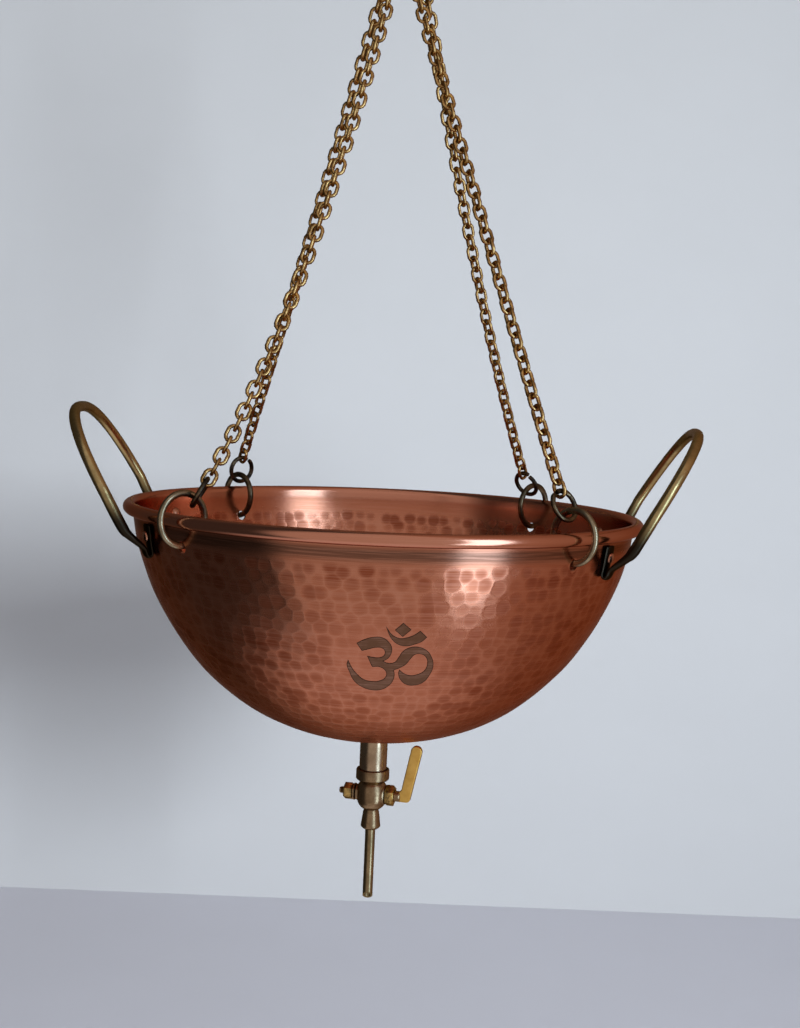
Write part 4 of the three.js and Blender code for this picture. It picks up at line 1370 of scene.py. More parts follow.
@dataclass
class Chains:
    """Four chains of oval links, each link square to the next.

    Attributes:
        length: A link's length.
        width: A link's width.
        wire: A link's wire.
        ring_inner: The inner radius of the rings at a chain's ends.
        gap: The play between a chain and those rings.
        pitch: The distance between two links' middles when they touch.
        line_steps: How many steps a chain's line is worked out in.
        corners: How many places a link's line has.
        sides: How many sides its wire has.
    """

    length: float = 9.3
    width: float = 7.1
    wire: float = 1.78
    ring_inner: float = 5.04
    gap: float = 0.15
    pitch: float = 5.69
    line_steps: int = 400
    corners: int = 14
    sides: int = 6

    def line(self, leg: Leg) -> tuple[list[Vector], Vector]:
        """Lay out a chain from its jump ring up to its top ring.

        Args:
            leg: The leg that the chain belongs to.

        Returns:
            Points along the chain, and the direction across its lowest link.
        """
        rings = RimRings()
        low_middle, _ = rings.joint(f"{leg.corner.value}_rim_ring_turn")
        middle, axis = rings.joint(f"{leg.corner.value}_jump_ring_turn")
        pull = (middle - low_middle).normalized()
        reach = self.ring_inner - self.gap + self.length / 2 - self.wire
        start = middle + pull * reach
        end = Vector(leg.top) + Vector(leg.top_pull) * reach
        points = []
        for i in range(self.line_steps + 1):
            share = i / self.line_steps
            point = start.lerp(end, share)
            point.z -= 4 * leg.sag * share * (1 - share)
            points.append(point)
        return points, pull.cross(axis)

    def stops(self, points: list[Vector]) -> list[tuple[Vector, Vector]]:
        """Space the links evenly along a chain.

        Args:
            points: Points along the chain.

        Returns:
            Each link's middle and the chain's direction there.
        """
        steps = [0.0]
        for before, after in zip(points, points[1:]):
            steps.append(steps[-1] + (after - before).length)
        count = round(steps[-1] / self.pitch) + 1
        wanted = np.linspace(0, steps[-1], count)
        axes = [np.interp(wanted, steps, [p[k] for p in points]) for k in range(3)]
        middles = [Vector(at) for at in zip(*axes)]
        out = []
        for i, middle in enumerate(middles):
            before, after = middles[max(i - 1, 0)], middles[min(i + 1, count - 1)]
            out.append((middle, (after - before).normalized()))
        return out

    def link_stations(self) -> list[Station]:
        """Give one link's line, long along Y in its own XY plane.

        Returns:
            The stations round the link.
        """
        half_width = (self.width - self.wire) / 2
        straight = (self.length - self.width) / 2
        stations = []
        for i in range(self.corners):
            angle = 2 * math.pi * (i + 0.5) / self.corners
            x, y = half_width * math.cos(angle), half_width * math.sin(angle)
            middle = Vector((x, y + math.copysign(straight, y), 0.0))
            stations.append(Station.of_wire(middle, Vector((0, 0, 1)), self.wire))
        return stations

    def build_leg(self, leg: Leg) -> None:
        """Make one chain.

        Args:
            leg: The leg that it belongs to.
        """
        points, sideways = self.line(leg)
        stops = self.stops(points)
        shape = Shape(f"{leg.corner.value}_chain")
        pattern = shape.swept(self.link_stations(), self.sides, closed=True)
        pattern_geometry = pattern + faces_of(pattern) + edges_of(pattern)
        last = stops[-1][1]
        first_across = square_to(sideways, last)
        wanted = square_to(Vector(leg.top_across), last)
        turning = math.atan2(first_across.cross(wanted).dot(last), first_across.dot(wanted))
        left = turning - (len(stops) - 1) * math.pi / 2
        twist = left - math.pi * round(left / math.pi)
        for i, (middle, along) in enumerate(stops):
            across = square_to(sideways, along)
            turn = i * math.pi / 2 + twist * i / (len(stops) - 1)
            normal = Matrix.Rotation(turn, 3, along) @ across
            copied = bmesh.ops.duplicate(shape.bm, geom=pattern_geometry)["geom"]
            place = axes_matrix(middle, along.cross(normal), along, normal)
            bmesh.ops.transform(shape.bm, matrix=place, verts=only(Vert, copied))
        bmesh.ops.delete(shape.bm, geom=pattern, context="VERTS")
        names = [f"{leg.corner.value}_chain_{run + 1}" for run in range(leg.runs)]
        shape.finish(Finishes.chain, Body.POT.value, "chain_brass", names, crease=75.0)

    def build(self) -> None:
        """Make the four chains."""
        for leg in LEGS:
            self.build_leg(leg)


@dataclass
class Hanger:
    """The S-hook and the gather ring that carry the four chains.

    Attributes:
        gather_height: The height of the gather ring's lowest wire.
        gather_radius: The gather ring's middle radius.
        gather_wire: The gather ring's wire.
        hook_wire: The hook's wire.
        bend: The radius of the hook's bends.
        pitch: The distance between the bends' middles.
        tip: How far past level the hook's tips end, in degrees.
        tip_steps: How far past its end a tip reaches, and its thickness there as a share of the wire's.
        low: The height of the lower bend's middle.
        ring_steps: How many steps round and how many sides the gather ring has.
        bend_steps: How many steps each of the hook's bends has.
        hook_sides: How many sides the hook's wire has.
    """

    gather_height: float = 254.0
    gather_radius: float = 18.0
    gather_wire: float = 4.0
    hook_wire: float = 5.0
    bend: float = 10.0
    pitch: float = 36.0
    tip: float = 35.0
    tip_steps: tuple[Point, ...] = ((1.9, 0.35), (1.5, 0.68), (0.8, 0.92))
    low: float = 295.2
    ring_steps: tuple[int, int] = (72, 14)
    bend_steps: int = 30
    hook_sides: int = 16

    def gather_ring(self) -> None:
        """Make the gather ring as a closed ring; its brazed joint at the top is not drawn."""
        middle = Vector((0, 0, self.gather_height + self.gather_radius))
        shape = Shape("gather_ring_round")
        place = Matrix.Translation(middle) @ Matrix.Rotation(math.pi / 2, 4, "X")
        steps, sides = self.ring_steps
        section = circle(self.gather_wire / 2, sides, (self.gather_radius, 0.0))
        shape.turned(section, steps, place, closed=True)
        shape.finish(Finishes.dark, Body.GATHER.value, "dark_brass", ["gather_ring"])

    def hook(self) -> None:
        """Bend the S-hook and round its tips off."""
        slope = math.asin(2 * self.bend / self.pitch)
        start, touch = math.radians(self.tip), -math.pi - slope
        middle = Vector((0, 0, self.low + self.pitch / 2))
        half = Vector((0, 0, self.pitch / 2))
        low, high = [], []
        for i in range(self.bend_steps + 1):
            angle = start + (touch - start) * i / self.bend_steps
            out = Vector((0, math.cos(angle), math.sin(angle))) * self.bend
            low.append(middle - half + out)
            high.append(middle + half - out)
        points = low + list(reversed(high))
        across = Vector((1, 0, 0))
        first, last = (
            [
                Station.of_wire(end + (end - inner).normalized() * out, across, self.hook_wire * size)
                for out, size in self.tip_steps
            ]
            for end, inner in ((points[0], points[1]), (points[-1], points[-2]))
        )
        rod = [Station.of_wire(point, across, self.hook_wire) for point in points]
        stations = first + rod + last[::-1]
        shape = Shape("s_hook_round")
        shape.swept(stations, self.hook_sides)
        shape.finish(Finishes.dark, Body.HOOK.value, "dark_brass", ["s_hook"])

    def build(self) -> None:
        """Make the hook and the ring."""
        self.gather_ring()
        self.hook()


# ---- Handles ----


@dataclass
class Handles:
    """Two handles bent from brass rod, whose ends are beaten flat, folded and riveted to the bowl.

    Attributes:
        bowl: The bowl that they are riveted to.
        rod: The rod's diameter.
        half_width: Half the loop's width.
        reach: The loop's height along its own slope.
        roundness: How square the loop is.
        lean: How far the loop leans outwards, in degrees.
        inset: How far inside the rim's edge the loop's base line is.
        drop: How far under the rim's middle it is.
        foot: The azimuth of a foot from the handle's middle, in degrees.
        palm_thickness: The thickness of the part on the wall.
        palm_width: Its width.
        palm_top: How far under the rim's middle its upper end is.
        palm_play: The play between the palm and the wall.
        fold_drop: How far down the fold is.
        fold_out: How far the fold stands out.
        fold_thickness: The bar's thickness in the fold.
        tongue_width: The width of the beaten tongue.
        tongue_thickness: Its thickness.
        knee_drop: How far down the knee is.
        knee_reach: How far out the knee is.
        rivet_drop: How far down the rivet is.
        loop_steps: How many steps a quarter of the loop has, the last two of which the knee takes.
        finer: How many stations replace each span of the foot.
        sides: How many sides the rod has.
    """

    bowl: Bowl
    rod: float = 5.0
    half_width: float = 62.0
    reach: float = 54.0
    roundness: float = 2.5
    lean: float = 30.0
    inset: float = 5.5
    drop: float = 1.5
    foot: float = 26.5
    palm_thickness: float = 1.9
    palm_width: float = 7.8
    palm_top: float = 4.4
    palm_play: float = 0.08
    fold_drop: float = 17.2
    fold_out: float = 2.4
    fold_thickness: float = 1.8
    tongue_width: float = 6.0
    tongue_thickness: float = 2.4
    knee_drop: float = 5.5
    knee_reach: float = 12.3
    rivet_drop: float = 9.4
    loop_steps: int = 32
    finer: int = 5
    sides: int = 16

    AZIMUTHS = {Side.LEFT: 183.5, Side.RIGHT: 352.2}

    def loop(self) -> list[Station]:
        """Give half of the loop, from the middle of the handle to its knee.

        Returns:
            The stations, in the handle's own frame whose X points out of the bowl.
        """
        base = RIM_RADIUS - self.inset
        lean = math.radians(self.lean)
        power = 2 / self.roundness
        stations = []
        for i in range(self.loop_steps - 2):
            angle = math.pi / 2 * i / self.loop_steps
            out = self.reach * math.cos(angle) ** power
            aside = self.half_width * math.sin(angle) ** power
            middle = Vector((base + out * math.sin(lean), aside, out * math.cos(lean) - self.drop))
            across = Vector((math.sin(lean), 0, math.cos(lean))) * math.cos(angle) / self.reach
            across.y = math.sin(angle) / self.half_width
            stations.append(Station.of_wire(middle, across.normalized(), self.rod))
        return stations

    def palm(self, drop: float) -> float:
        """Give how far out the palm's middle lies on the wall at a depth."""
        return self.bowl.radius(drop) + self.palm_thickness / 2 + self.palm_play

    def foot_key(self) -> list[tuple[float, float, float, float]]:
        """Give the foot's main places, as (distance, drop, width, thickness).

        Returns:
            The places from the knee, down the tongue, round the fold and up the wall.
        """
        knee = self.bowl.radius(self.knee_drop)
        fold = self.palm(self.fold_drop)
        over = self.fold_drop + self.fold_out / 6
        under = self.fold_drop + 2 * self.fold_out / 3
        after = 0.8 * self.fold_drop
        tongue, thin = self.tongue_width, self.fold_thickness
        palm, flat = self.palm_width, self.palm_thickness
        return [
            (knee + self.knee_reach, self.knee_drop, self.rod, self.rod),
            (knee + 0.72 * self.knee_reach, 0.55 * self.fold_drop, tongue, 1.5 * self.tongue_thickness),
            (fold + 1.6 * self.fold_out, 0.85 * self.fold_drop, tongue, self.tongue_thickness),
            (fold + self.fold_out, over, tongue, thin),
            (fold + self.fold_out / 2, under, tongue, thin),
            (fold, over, tongue, thin),
            (self.palm(after), after, (tongue + palm) / 2, flat),
            (self.palm(self.rivet_drop), self.rivet_drop, palm, flat),
            (self.palm(self.palm_top + 1), self.palm_top + 1, palm, flat),
            (self.palm(self.palm_top), self.palm_top, 0.7 * palm, 0.8 * flat),
        ]

    def smoothed(self, stations: list[Station]) -> list[Station]:
        """Draw a smooth line through stations.

        Args:
            stations: The main stations.

        Returns:
            The finer stations.
        """
        out = []
        last = len(stations) - 1
        for i in range(last):
            four = [stations[max(i - 1, 0)], stations[i], stations[i + 1], stations[min(i + 2, last)]]
            for k in range(self.finer):
                t = k / self.finer
                weights = (
                    -0.5 * t + t**2 - 0.5 * t**3,
                    1 - 2.5 * t**2 + 1.5 * t**3,
                    0.5 * t + 2 * t**2 - 1.5 * t**3,
                    -0.5 * t**2 + 0.5 * t**3,
                )
                middle = sum((s.middle * w for s, w in zip(four, weights)), Vector())
                width = four[1].width * (1 - t) + four[2].width * t
                thickness = four[1].thickness * (1 - t) + four[2].thickness * t
                out.append(Station(middle, four[1].across.lerp(four[2].across, t), width, thickness))
        out.append(stations[-1])
        return out

    def stations(self) -> list[Station]:
        """Give the whole bar, from one palm to the other.

        Returns:
            The stations in the handle's own frame.
        """
        across = polar(self.foot + 90, 1, 0)
        loop = self.loop()
        foot = [Station(polar(self.foot, d, -drop), across, w, t) for d, drop, w, t in self.foot_key()]
        if loop[-1].across.dot(across) < 0:
            foot = [station.turned_over() for station in foot]
        half = loop + self.smoothed([loop[-1]] + foot)[1:]
        flip = Vector((1, -1, 1))
        other = [replace(s, middle=s.middle * flip, across=s.across * flip) for s in half[:0:-1]]
        whole = other + half
        kept = [whole[0]]
        for station in whole[1:]:
            same = station.across.dot(kept[-1].across) >= 0
            kept.append(station if same else station.turned_over())
        return kept

    def rivet(self, shape: Shape, azimuth: float) -> None:
        """Add a rivet: a domed copper head inside and a hammered tail outside.

        Args:
            shape: The rivets' shape.
            azimuth: The rivet's direction.
        """
        sheet = self.bowl.sheet
        inner, outer = -(sheet / 2 + 0.03), sheet / 2 + self.palm_thickness + 0.15
        outline = [
            (0, inner - 1.8), (1.2, inner - 1.68), (2.2, inner - 1.25), (2.8, inner - 0.6), (3.0, inner),
            (1.4, inner), (1.4, outer), (2.4, outer), (2.25, outer + 0.6), (1.5, outer + 1.05),
            (0, outer + 1.2),
        ]
        turn = Matrix.Rotation(math.radians(azimuth), 4, "Z")
        lean = Matrix.Rotation(math.pi / 2 + self.bowl.lean(self.rivet_drop), 4, "Y")
        middle = polar(azimuth, self.bowl.radius(self.rivet_drop) - sheet / 2, -self.rivet_drop)
        shape.turned(outline, 24, Matrix.Translation(middle) @ turn @ lean)

    def build(self) -> None:
        """Make both handles and their rivets."""
        for side in Side:
            azimuth = self.AZIMUTHS[side]
            shape = Shape(f"{side.value}_handle_bent")
            made = shape.swept(self.stations(), self.sides)
            turn = Matrix.Rotation(math.radians(azimuth), 3, "Z")
            bmesh.ops.rotate(shape.bm, cent=(0, 0, 0), matrix=turn, verts=made)
            shape.finish(Finishes.handle, Body.POT.value, "antique_brass", [f"{side.value}_handle"])
            for i, foot in enumerate((azimuth - self.foot, azimuth + self.foot), 1):
                rivet = Shape(f"{side.value}_rivet_{i}")
                self.rivet(rivet, foot)
                replaced = [f"{side.value}_handle_rivet_{i}"]
                rivet.finish(Finishes.rivet, Body.POT.value, "hammered_copper", replaced)


# ---- Tap ----


@dataclass
class Tap:
    """The drain pipe, the plug tap under it and the drip tube.

    Heights inside the tap are measured from its plug's axis.

    Attributes:
        height: The height of the plug's axis under the rim's middle.
        turn: How far the plug's axis is turned from X, in degrees.
        pipe_radius: The drain pipe's outer radius.
        pipe_bore: Its bore's radius.
        pipe_top: Its upper end's height above the plug's axis.
        pipe_foot: Its lower end's height above the plug's axis.
        collar: The collar's radius.
        collar_top: The collar's upper end.
        barrel: The barrel's radius.
        barrel_height: Half its height.
        neck: The neck's radius.
        cone: The cone's largest radius.
        cone_brim: How far under the plug's axis that is.
        cone_foot: Where the cone ends.
        tube_radius: The drip tube's radius.
        tube_bore: Its bore's radius.
        tube_end: Where it ends.
        tube_cut: The slant of its mouth, in degrees.
        thread_ridge: How high a thread's ridge stands over its root.
        thread_steps: How many steps a turn of a thread has.
        lever_lean: How far the lever's blade leans away from the pipe, in degrees.
        lever_width: The blade's width.
        lever_rise: How far the middle of the blade's round end is above the plug's axis.
    """

    height: float = -140.4
    turn: float = -15.0
    pipe_radius: float = 6.8
    pipe_bore: float = 4.5
    pipe_top: float = 32.2
    pipe_foot: float = 10.7
    collar: float = 8.25
    collar_top: float = 12.8
    barrel: float = 7.5
    barrel_height: float = 8.6
    neck: float = 3.7
    cone: float = 4.95
    cone_brim: float = 14.7
    cone_foot: float = 17.8
    tube_radius: float = 2.5
    tube_bore: float = 1.55
    tube_end: float = 54.6
    tube_cut: float = 44.0
    thread_ridge: float = 0.3
    thread_steps: int = 24
    lever_lean: float = 11.3
    lever_width: float = 5.6
    lever_rise: float = 23.6

    def upright(self) -> Matrix:
        """Give the place of a form that is turned about the pipe's axis."""
        return Matrix.Translation((0, 0, self.height)) @ Matrix.Rotation(math.radians(self.turn), 4, "Z")

    def lying(self) -> Matrix:
        """Give the place of a form that is turned about the plug's axis."""
        return self.upright() @ Matrix.Rotation(math.pi / 2, 4, "Y")

    def pipe(self) -> None:
        """Make the drain pipe and the solder round its top."""
        shape = Shape("drain_pipe_turned")
        outer, bore, top, foot = self.pipe_radius, self.pipe_bore, self.pipe_top, self.pipe_foot
        outline = [
            (bore, foot), (outer - 0.3, foot), (outer, foot + 0.3),
            (outer, top - 0.3), (outer - 0.3, top), (bore, top),
        ]
        shape.turned(outline, 72, self.upright(), closed=True)
        shape.finish(Finishes.pipe, Body.POT.value, "dark_brass", ["drain_pipe"])
        solder = Shape("drain_solder_bead")
        under = top - 1.25
        outline = [
            (outer + 0.02, under - 2.2), (outer + 0.25, under - 2.0), (outer + 0.8, under - 1.1),
            (outer + 1.7, under - 0.45), (outer + 2.8, under - 0.1), (outer + 2.8, under + 0.05),
            (outer + 0.02, under + 0.05),
        ]
        made = solder.turned(outline, 60, self.upright(), closed=True)
        chance = np.random.default_rng(3)
        for vert in made:
            away = math.hypot(vert.co.x, vert.co.y)
            if away > outer + 0.2:
                push = 1 + chance.uniform(-0.02, 0.02)
                vert.co.x *= push
                vert.co.y *= push
        solder.finish(Finishes.solder, Body.POT.value, "solder", ["drain_solder"])

    def barrel_radius(self, height: float) -> float:
        """Give the barrel's radius at a height above the plug's axis."""
        return self.barrel * math.sqrt(max(0.0, 1 - abs(height / self.barrel_height) ** 2.8))

    def body(self) -> None:
        """Make the tap's body with its collar, barrel, bosses, neck and cone."""
        shape = Shape("tap_body_turned")
        barrel = [(self.barrel_radius(h), h) for h in np.linspace(-0.9, 0.72, 22) * self.barrel_height]
        collar, top = self.collar, self.collar_top
        cone, brim, foot = self.cone, -self.cone_brim, -self.cone_foot
        socket, pipe, bore = self.tube_radius + 0.05, self.pipe_radius, self.pipe_bore
        outline = [
            (socket, foot + 3.5), (socket, foot + 0.2), (socket + 0.35, foot), (cone - 1.3, foot + 0.1),
            (cone - 0.25, brim - 2.1), (cone, brim - 1.6), (cone - 0.12, brim - 1.0),
            (self.neck + 0.3, -self.barrel_height - 0.7), (self.neck, -self.barrel_height + 0.3),
            *barrel,
            (pipe - 0.5, 6.6), (pipe - 0.2, 7.0), (collar - 0.5, 7.3), (collar, 7.9),
            (collar, top - 0.7), (collar - 0.25, top - 0.2), (collar - 0.7, top), (pipe + 0.55, top - 0.1),
            (pipe + 0.3, top - 0.6), (pipe + 0.3, top - 2.4), (bore, top - 2.4),
            (bore, 6.0), (1.9, 4.6), (1.9, foot + 3.5),
        ]
        shape.turned(outline, 72, self.upright(), closed=True)
        right = [(0.05, 0), (5.2, 0), (5.2, 6.5), (4.8, 7.0), (4.2, 7.0), (4.2, 5.0), (0.05, 5.0)]
        shape.turned(right, 40, self.lying(), closed=True)
        left = [(2.95, -8.0), (2.95, -5.0), (0.05, -5.0), (0.05, 0), (4.0, 0), (4.0, -7.5), (3.6, -8.0)]
        shape.turned(left, 40, self.lying(), closed=True)
        shape.finish(Finishes.dark, Body.POT.value, "dark_brass", ["tap_body"])

    def hexagon(self, shape: Shape, across: float, start: float, length: float, bore: float) -> None:
        """Add a nut with turned corners, whose axis is the plug's.

        Args:
            shape: The shape that gets the nut.
            across: Its size across flats.
            start: Where it starts along the axis.
            length: Its length.
            bore: Its bore's radius.
        """
        place = self.lying() @ Matrix.Translation((0, 0, start + length / 2))
        corners = circle(across / math.sqrt(3), 6)
        shape.prism(corners, length, place, 0.55, 2)
        for end, out in ((start + length, 1), (start, -1)):
            low, high = end - out * 0.2, end + out * 0.12
            ring = [(bore, low), (across / 2 - 0.35, low), (across / 2 - 0.6, high), (bore, high)]
            shape.turned(ring, 36, self.lying(), closed=True)

    def screw(self, shape: Shape, radius: float, start: float, end: float, pitch: float) -> None:
        """Add a thread round the plug's axis.

        Args:
            shape: The shape that gets the thread.
            radius: The thread's root radius.
            start: Where it starts along the axis.
            end: Where it ends.
            pitch: The distance between two turns.
        """
        turns = (end - start) / pitch
        steps = int(turns * self.thread_steps)
        before = set(shape.bm.verts)
        top = radius + self.thread_ridge
        ridge = ((radius, 0, start), (top, 0, start + pitch / 2), (radius, 0, start + pitch))
        verts = [shape.bm.verts.new(corner) for corner in ridge]
        edges = [shape.bm.edges.new(pair) for pair in zip(verts, verts[1:])]
        bmesh.ops.spin(
            shape.bm, geom=verts + edges, cent=(0, 0, 0), axis=(0, 0, 1),
            dvec=(0, 0, (end - start - pitch) / steps), angle=2 * math.pi * turns, steps=steps,
            use_merge=False, use_duplicate=False,
        )
        bmesh.ops.transform(shape.bm, matrix=self.lying(), verts=shape.since(before))

    def plug(self) -> None:
        """Make the plug: its tapered body, the stem, whose slot is not cut, and the threaded tail."""
        shape = Shape("tap_plug_turned")
        outline = [
            (0, -16.6), (1.2, -16.6), (1.5, -16.3), (1.5, -8.0), (2.6, -7.7), (3.9, 3.6), (2.6, 3.8),
            (2.6, 14.1), (2.2, 14.6), (0, 14.6),
        ]
        shape.turned(outline, 32, self.lying())
        self.screw(shape, 1.45, -16.3, -8.6, 0.75)
        shape.finish(Finishes.dark, Body.TAP_KEY.value, "yellow_brass", ["tap_plug"])

    def nuts(self) -> None:
        """Make the gland nut, the tail nut and the tail washer."""
        gland = Shape("gland_nut_cut")
        self.hexagon(gland, 9.2, 7.3, 4.2, 2.75)
        gland.finish(Finishes.nut, Body.POT.value, "yellow_brass", ["gland_nut", "gland_packing"])
        tail = Shape("tail_nut_cut")
        self.hexagon(tail, 7.4, -14.0, 4.4, 1.75)
        tail.finish(Finishes.nut, Body.TAP_KEY.value, "yellow_brass", ["tail_nut"])
        washer = Shape("tail_washer_turned")
        outline = [(1.85, -9.3), (4.0, -9.3), (4.2, -9.1), (4.2, -8.5), (4.0, -8.3), (1.85, -8.3)]
        washer.turned(outline, 36, self.lying(), closed=True)
        washer.finish(Finishes.dark, Body.TAP_KEY.value, "dark_brass", ["tail_washer"])

    def lever(self) -> None:
        """Make the lever: a leg in the stem's slot and a blade that rises beside the pipe."""
        lean = math.radians(self.lever_lean)
        along = Vector((math.sin(lean), math.cos(lean)))
        half = self.lever_width / 2
        corner, leg, start = Vector((17.2, 0.0)), 2.5, 12.0
        tip = corner + along * (self.lever_rise / along.y)

        def edge(height: float, side: int, back: float = 0.0) -> Vector:
            """Give a point on the blade's far edge (side 1) or near edge (side -1), or back from it."""
            middle = corner.x + along.x * height / along.y
            return Vector((middle + side * (math.cos(lean) * half - back), height))

        outline = [Vector((start, -leg)), edge(-leg, 1, 1.4)]
        outline += [edge(-leg, 1, 0.3) + Vector((0, 0.4)), edge(1.2 - leg, 1)]
        for i in range(13):
            angle = -lean + math.pi * i / 12
            outline.append(tip + Vector((math.cos(angle), math.sin(angle))) * half)
        outline += [edge(leg + 1.0, -1), edge(leg, -1, -0.9), Vector((start, leg))]
        shape = Shape("tap_lever_cut")
        place = self.upright() @ Matrix.Rotation(math.pi / 2, 4, "X")
        shape.prism([(p.x, p.y) for p in outline], 2.6, place, 0.5, 3)
        shape.finish(Finishes.yellow, Body.TAP_KEY.value, "yellow_brass", ["tap_lever"])

    def tube(self) -> None:
        """Make the drip tube and cut its mouth off slantwise."""
        shape = Shape("drip_tube_cut")
        foot, top = -self.tube_end - 6, -self.cone_foot + 3.2
        outline = [
            (self.tube_bore, foot), (self.tube_radius, foot),
            (self.tube_radius, top), (self.tube_bore, top),
        ]
        shape.turned(outline, 40, Matrix.Translation((0, 0, self.height)), closed=True)
        slant = math.radians(self.tube_cut)
        middle = Vector((0, 0, self.height - self.tube_end + self.tube_radius * math.tan(slant)))
        normal = Vector((0, -math.sin(slant), -math.cos(slant)))
        geometry = list(shape.bm.verts) + list(shape.bm.edges) + list(shape.bm.faces)
        cut = bmesh.ops.bisect_plane(
            shape.bm, geom=geometry, plane_co=middle, plane_no=normal,
            clear_outer=True, clear_inner=False, dist=1e-5,
        )
        bmesh.ops.bridge_loops(shape.bm, edges=only(Edge, cut["geom_cut"]))
        bmesh.ops.recalc_face_normals(shape.bm, faces=shape.bm.faces)
        shape.finish(Finishes.tube, Body.POT.value, "dark_brass", ["drip_tube"])

    def build(self) -> None:
        """Make every piece of the tap."""
        self.pipe()
        self.body()
        self.plug()
        self.nuts()
        self.lever()
        self.tube()


# ---- Studio ----


@dataclass(frozen=True)
class Lamp:
    """A soft rectangular lamp.

    Attributes:
        name: Its name.
        at: Where it is from the rim's middle, in metres.
        look: The height from the rim's middle that it looks at, in metres.
        size: Its width and height, in metres.
        radiance: How bright its face is, where 1 shows as white.
        tint: Its colour.
        fan: How wide its light fans out, in degrees.
        reflected: Whether metal mirrors it, instead of it lighting the matt wall and table.
    """

    name: str
    at: tuple[float, float, float]
    look: float
    size: tuple[float, float]
    radiance: float
    tint: Colour
    fan: float
    reflected: bool


@dataclass
class Studio:
    """The pale wall and table, the soft light and the camera.

    Attributes:
        wall_back: How far behind the pot's axis the wall is, in metres.
        floor_down: How far under the rim's middle the table is, in metres.
        wall: The wall's colour.
        floor: The table's colour.
        camera_at: Where the camera is from the rim's middle, in metres.
        aim: How far the camera is turned right, tipped down and rolled, in degrees.
        lens: The lens, in millimetres on a 36 mm sensor's long side.
        ambient: The light that the room gives to matt surfaces.
        beyond: What the camera sees past the stage.
        stage_half: Half the wall's width and half the wall's height or the table's depth, in metres.
        under_from: How steeply a mirrored ray points down where the table's tone starts and is full.
    """

    wall_back: float = 0.5
    floor_down: float = 0.392
    wall: Colour = (0.72, 0.74, 0.77)
    floor: Colour = (0.73, 0.74, 0.82)
    camera_at: tuple[float, float, float] = (0.0, -0.6474, 0.0579)
    aim: tuple[float, float, float] = (0.688, 0.046, 2.49)
    lens: float = 46.65
    ambient: Colour = (0.33, 0.32, 0.31)
    beyond: Colour = (0.6, 0.62, 0.65)
    stage_half: Point = (6.0, 3.0)
    under_from: Point = (-0.7, -0.97)

    # what the metals mirror, by the direction in degrees from the viewer's side towards the right
    ROOM = (
        (-180, (0.17, 0.13, 0.11)), (-150, (0.09, 0.075, 0.065)), (-110, (0.045, 0.04, 0.037)),
        (-54, (0.045, 0.04, 0.037)), (-42, (0.44, 0.38, 0.34)), (26, (0.48, 0.42, 0.38)),
        (62, (0.36, 0.24, 0.18)), (108, (0.27, 0.17, 0.12)), (150, (0.24, 0.15, 0.11)),
        (180, (0.17, 0.13, 0.11)),
    )
    # what they mirror from below, where the table is
    UNDER = (0.56, 0.5, 0.49)
    LAMPS = (
        Lamp("daylight", (0.55, -1.143, 0.247), 0.04, (0.28, 0.38), 60.0, (0.9, 0.96, 1.0), 124, False),
        Lamp("window", (0.875, -0.938, -0.15), -0.15, (0.42, 1.9), 3.3, (0.64, 0.95, 1.22), 180, True),
    )

    def rim(self) -> Vector:
        """Give the rim's middle in the frame, in metres."""
        return Vector((0, 0, RIM_HEIGHT * METRES))

    def camera(self) -> None:
        """Put the camera where the photograph was taken from."""
        data = bpy.data.cameras.new("camera")
        data.lens = self.lens
        data.sensor_width = 36.0
        data.sensor_fit = "AUTO"
        camera = in_scene("camera", data)
        away = Vector(self.camera_at)
        right, down, roll = (math.radians(angle) for angle in self.aim)
        turn = (-away).to_track_quat("-Z", "Y").to_matrix().to_4x4()
        for angle, axis in ((-right, "Y"), (-down, "X"), (roll, "Z")):
            turn = turn @ Matrix.Rotation(angle, 4, axis)
        camera.matrix_world = Matrix.Translation(self.rim() + away) @ turn
        bpy.context.scene.camera = camera

    def plain(self, name: str, colour: Colour) -> bpy.types.Material:
        """Make a matt paint with a faint mottle, which lets rays through from behind.

        Args:
            name: The material's name.
            colour: The paint's colour.

        Returns:
            The material.
        """
        shading = Shading(name)
        mottle = shading.noise((90.0, 90.0, 60.0), detail=3.0)
        paint = shading.mix(mottle, colour, tuple(0.96 * part for part in colour))
        shading.surface({"Base Color": paint, "Roughness": 0.9})
        behind = shading.node("NewGeometry").outputs["Backfacing"]
        clear = shading.node("BsdfTransparent").outputs[0]
        mixed = shading.node("MixShader", behind, shading.shader.outputs[0], clear).outputs[0]
        shading.feed(shading.nodes["Material Output"].inputs["Surface"], mixed)
        return shading.material

    def sheet(self, name: str, place: Matrix, material: bpy.types.Material) -> None:
        """Put up a flat sheet of the stage, which the metals don't mirror: they mirror the room.

        Args:
            name: Its name.
            place: Where its own XY plane goes.
            material: Its paint.
        """
        bm = bmesh.new()
        bmesh.ops.create_grid(bm, x_segments=1, y_segments=1, size=1.0, matrix=place)
        mesh = bpy.data.meshes.new(name)
        bm.to_mesh(mesh)
        bm.free()
        mesh.materials.append(material)
        sheet = in_scene(name, mesh)
        sheet.visible_glossy = False

    def stage(self) -> None:
        """Put up the wall and the table."""
        wide, half = self.stage_half
        back = self.rim() + Vector((0, self.wall_back, 0))
        size = Matrix.Diagonal((wide, half, 1, 1))
        wall = Matrix.Translation(back + Vector((0, 0, half - self.floor_down)))
        wall = wall @ Matrix.Rotation(math.pi / 2, 4, "X") @ size
        self.sheet("wall", wall, self.plain("wall_paint", self.wall))
        table = Matrix.Translation(back - Vector((0, half, self.floor_down))) @ size
        self.sheet("table", table, self.plain("table_paint", self.floor))

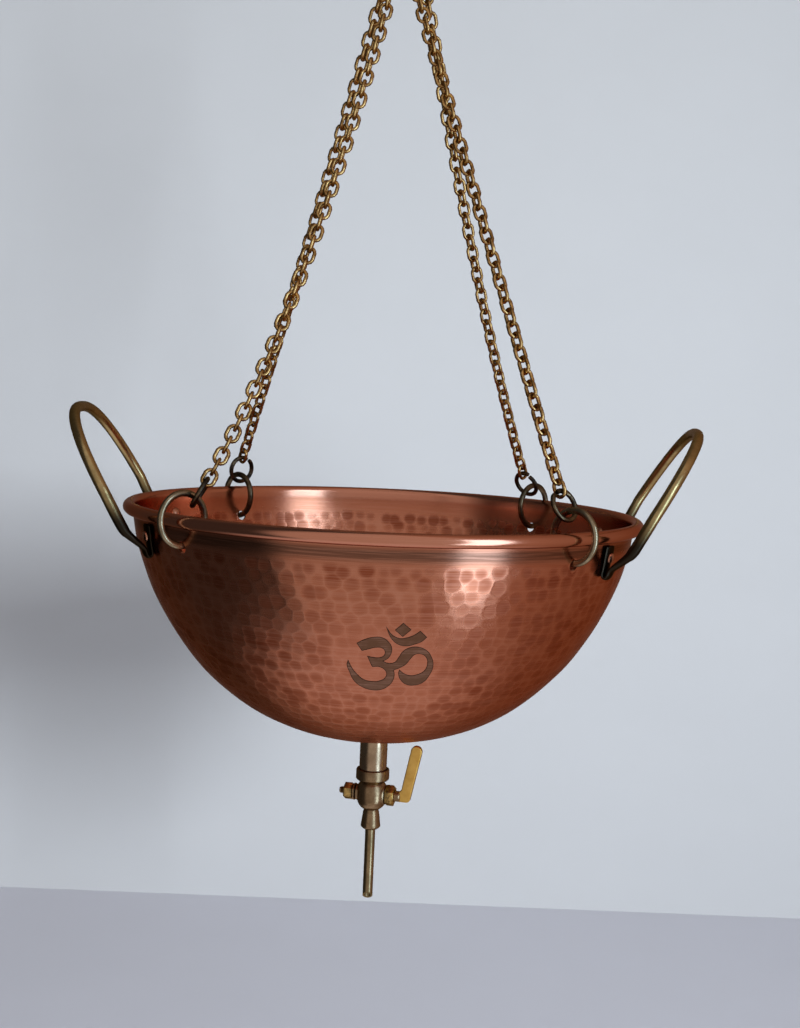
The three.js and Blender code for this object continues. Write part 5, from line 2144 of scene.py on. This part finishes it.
    def lamp(self, lamp: Lamp) -> None:
        """Hang a soft lamp that looks at the bowl.

        Args:
            lamp: The lamp's settings.
        """
        data = bpy.data.lights.new(lamp.name, "AREA")
        data.shape = "RECTANGLE"
        data.size, data.size_y = lamp.size
        half = math.radians(lamp.fan) / 2
        data.spread = 2 * half
        # Blender packs the same watts into a narrower fan, so the watts fall to keep the face as bright
        narrowed = 1 - half / math.tan(half)
        data.energy = lamp.radiance * math.pi * lamp.size[0] * lamp.size[1] * narrowed
        data.color = lamp.tint
        hung = in_scene(lamp.name, data)
        at = Vector(lamp.at)
        look = (Vector((0, 0, lamp.look)) - at).to_track_quat("-Z", "Y").to_matrix().to_4x4()
        hung.matrix_world = Matrix.Translation(self.rim() + at) @ look
        hung.visible_camera = False
        hung.visible_glossy = lamp.reflected
        hung.visible_diffuse = not lamp.reflected

    def room(self) -> None:
        """Light the pot from a pale room that is darker on the left."""
        world = bpy.data.worlds.new("room")
        bpy.context.scene.world = world
        world.use_nodes = True
        room = Nodes(world.node_tree)
        x, y, z = room.node("SeparateXYZ", room.node("TexCoord").outputs["Generated"]).outputs
        turn = room.maths("ARCTAN2", x, room.maths("MULTIPLY", y, -1.0))
        ramp = room.node("ValToRGB", room.maths("ADD", room.maths("DIVIDE", turn, 2 * math.pi), 0.5))
        elements = ramp.color_ramp.elements
        while len(elements) < len(self.ROOM):
            elements.new(0.5)
        for element, (angle, colour) in zip(elements, self.ROOM):
            element.position = (angle + 180) / 360
            element.color = (*colour, 1.0)
        seen = room.mix(room.spread(z, *self.under_from), ramp.outputs[0], self.UNDER)
        path = room.node("LightPath")
        for ray, plain in (("Is Diffuse Ray", self.ambient), ("Is Camera Ray", self.beyond)):
            seen = room.mix(path.outputs[ray], seen, plain)
        background = room.nodes["Background"]
        room.feed(background.inputs["Color"], seen)
        background.inputs["Strength"].default_value = 1.0

    def build(self) -> None:
        """Set up the whole studio."""
        bpy.context.scene.view_settings.view_transform = "Standard"
        self.camera()
        self.stage()
        self.room()
        for lamp in self.LAMPS:
            self.lamp(lamp)


def dress_rim_wire() -> None:
    """Give its finish to the rim's wire, the one plain piece that stays."""
    materials = FRAME["nodes"]["rim_wire"].data.materials
    materials.clear()
    materials.append(Finishes.get(Finishes.wire))


def main() -> None:
    """Build the pot piece by piece, then its studio."""
    logging.basicConfig(level=logging.INFO, format="%(name)s: %(message)s")
    bowl = Bowl()
    bowl.build()
    OmSign(bowl).build()
    Handles(bowl).build()
    Tap().build()
    RimRings().build()
    Chains().build()
    Hanger().build()
    dress_rim_wire()
    Studio().build()


if __name__ == "__main__":
    main()
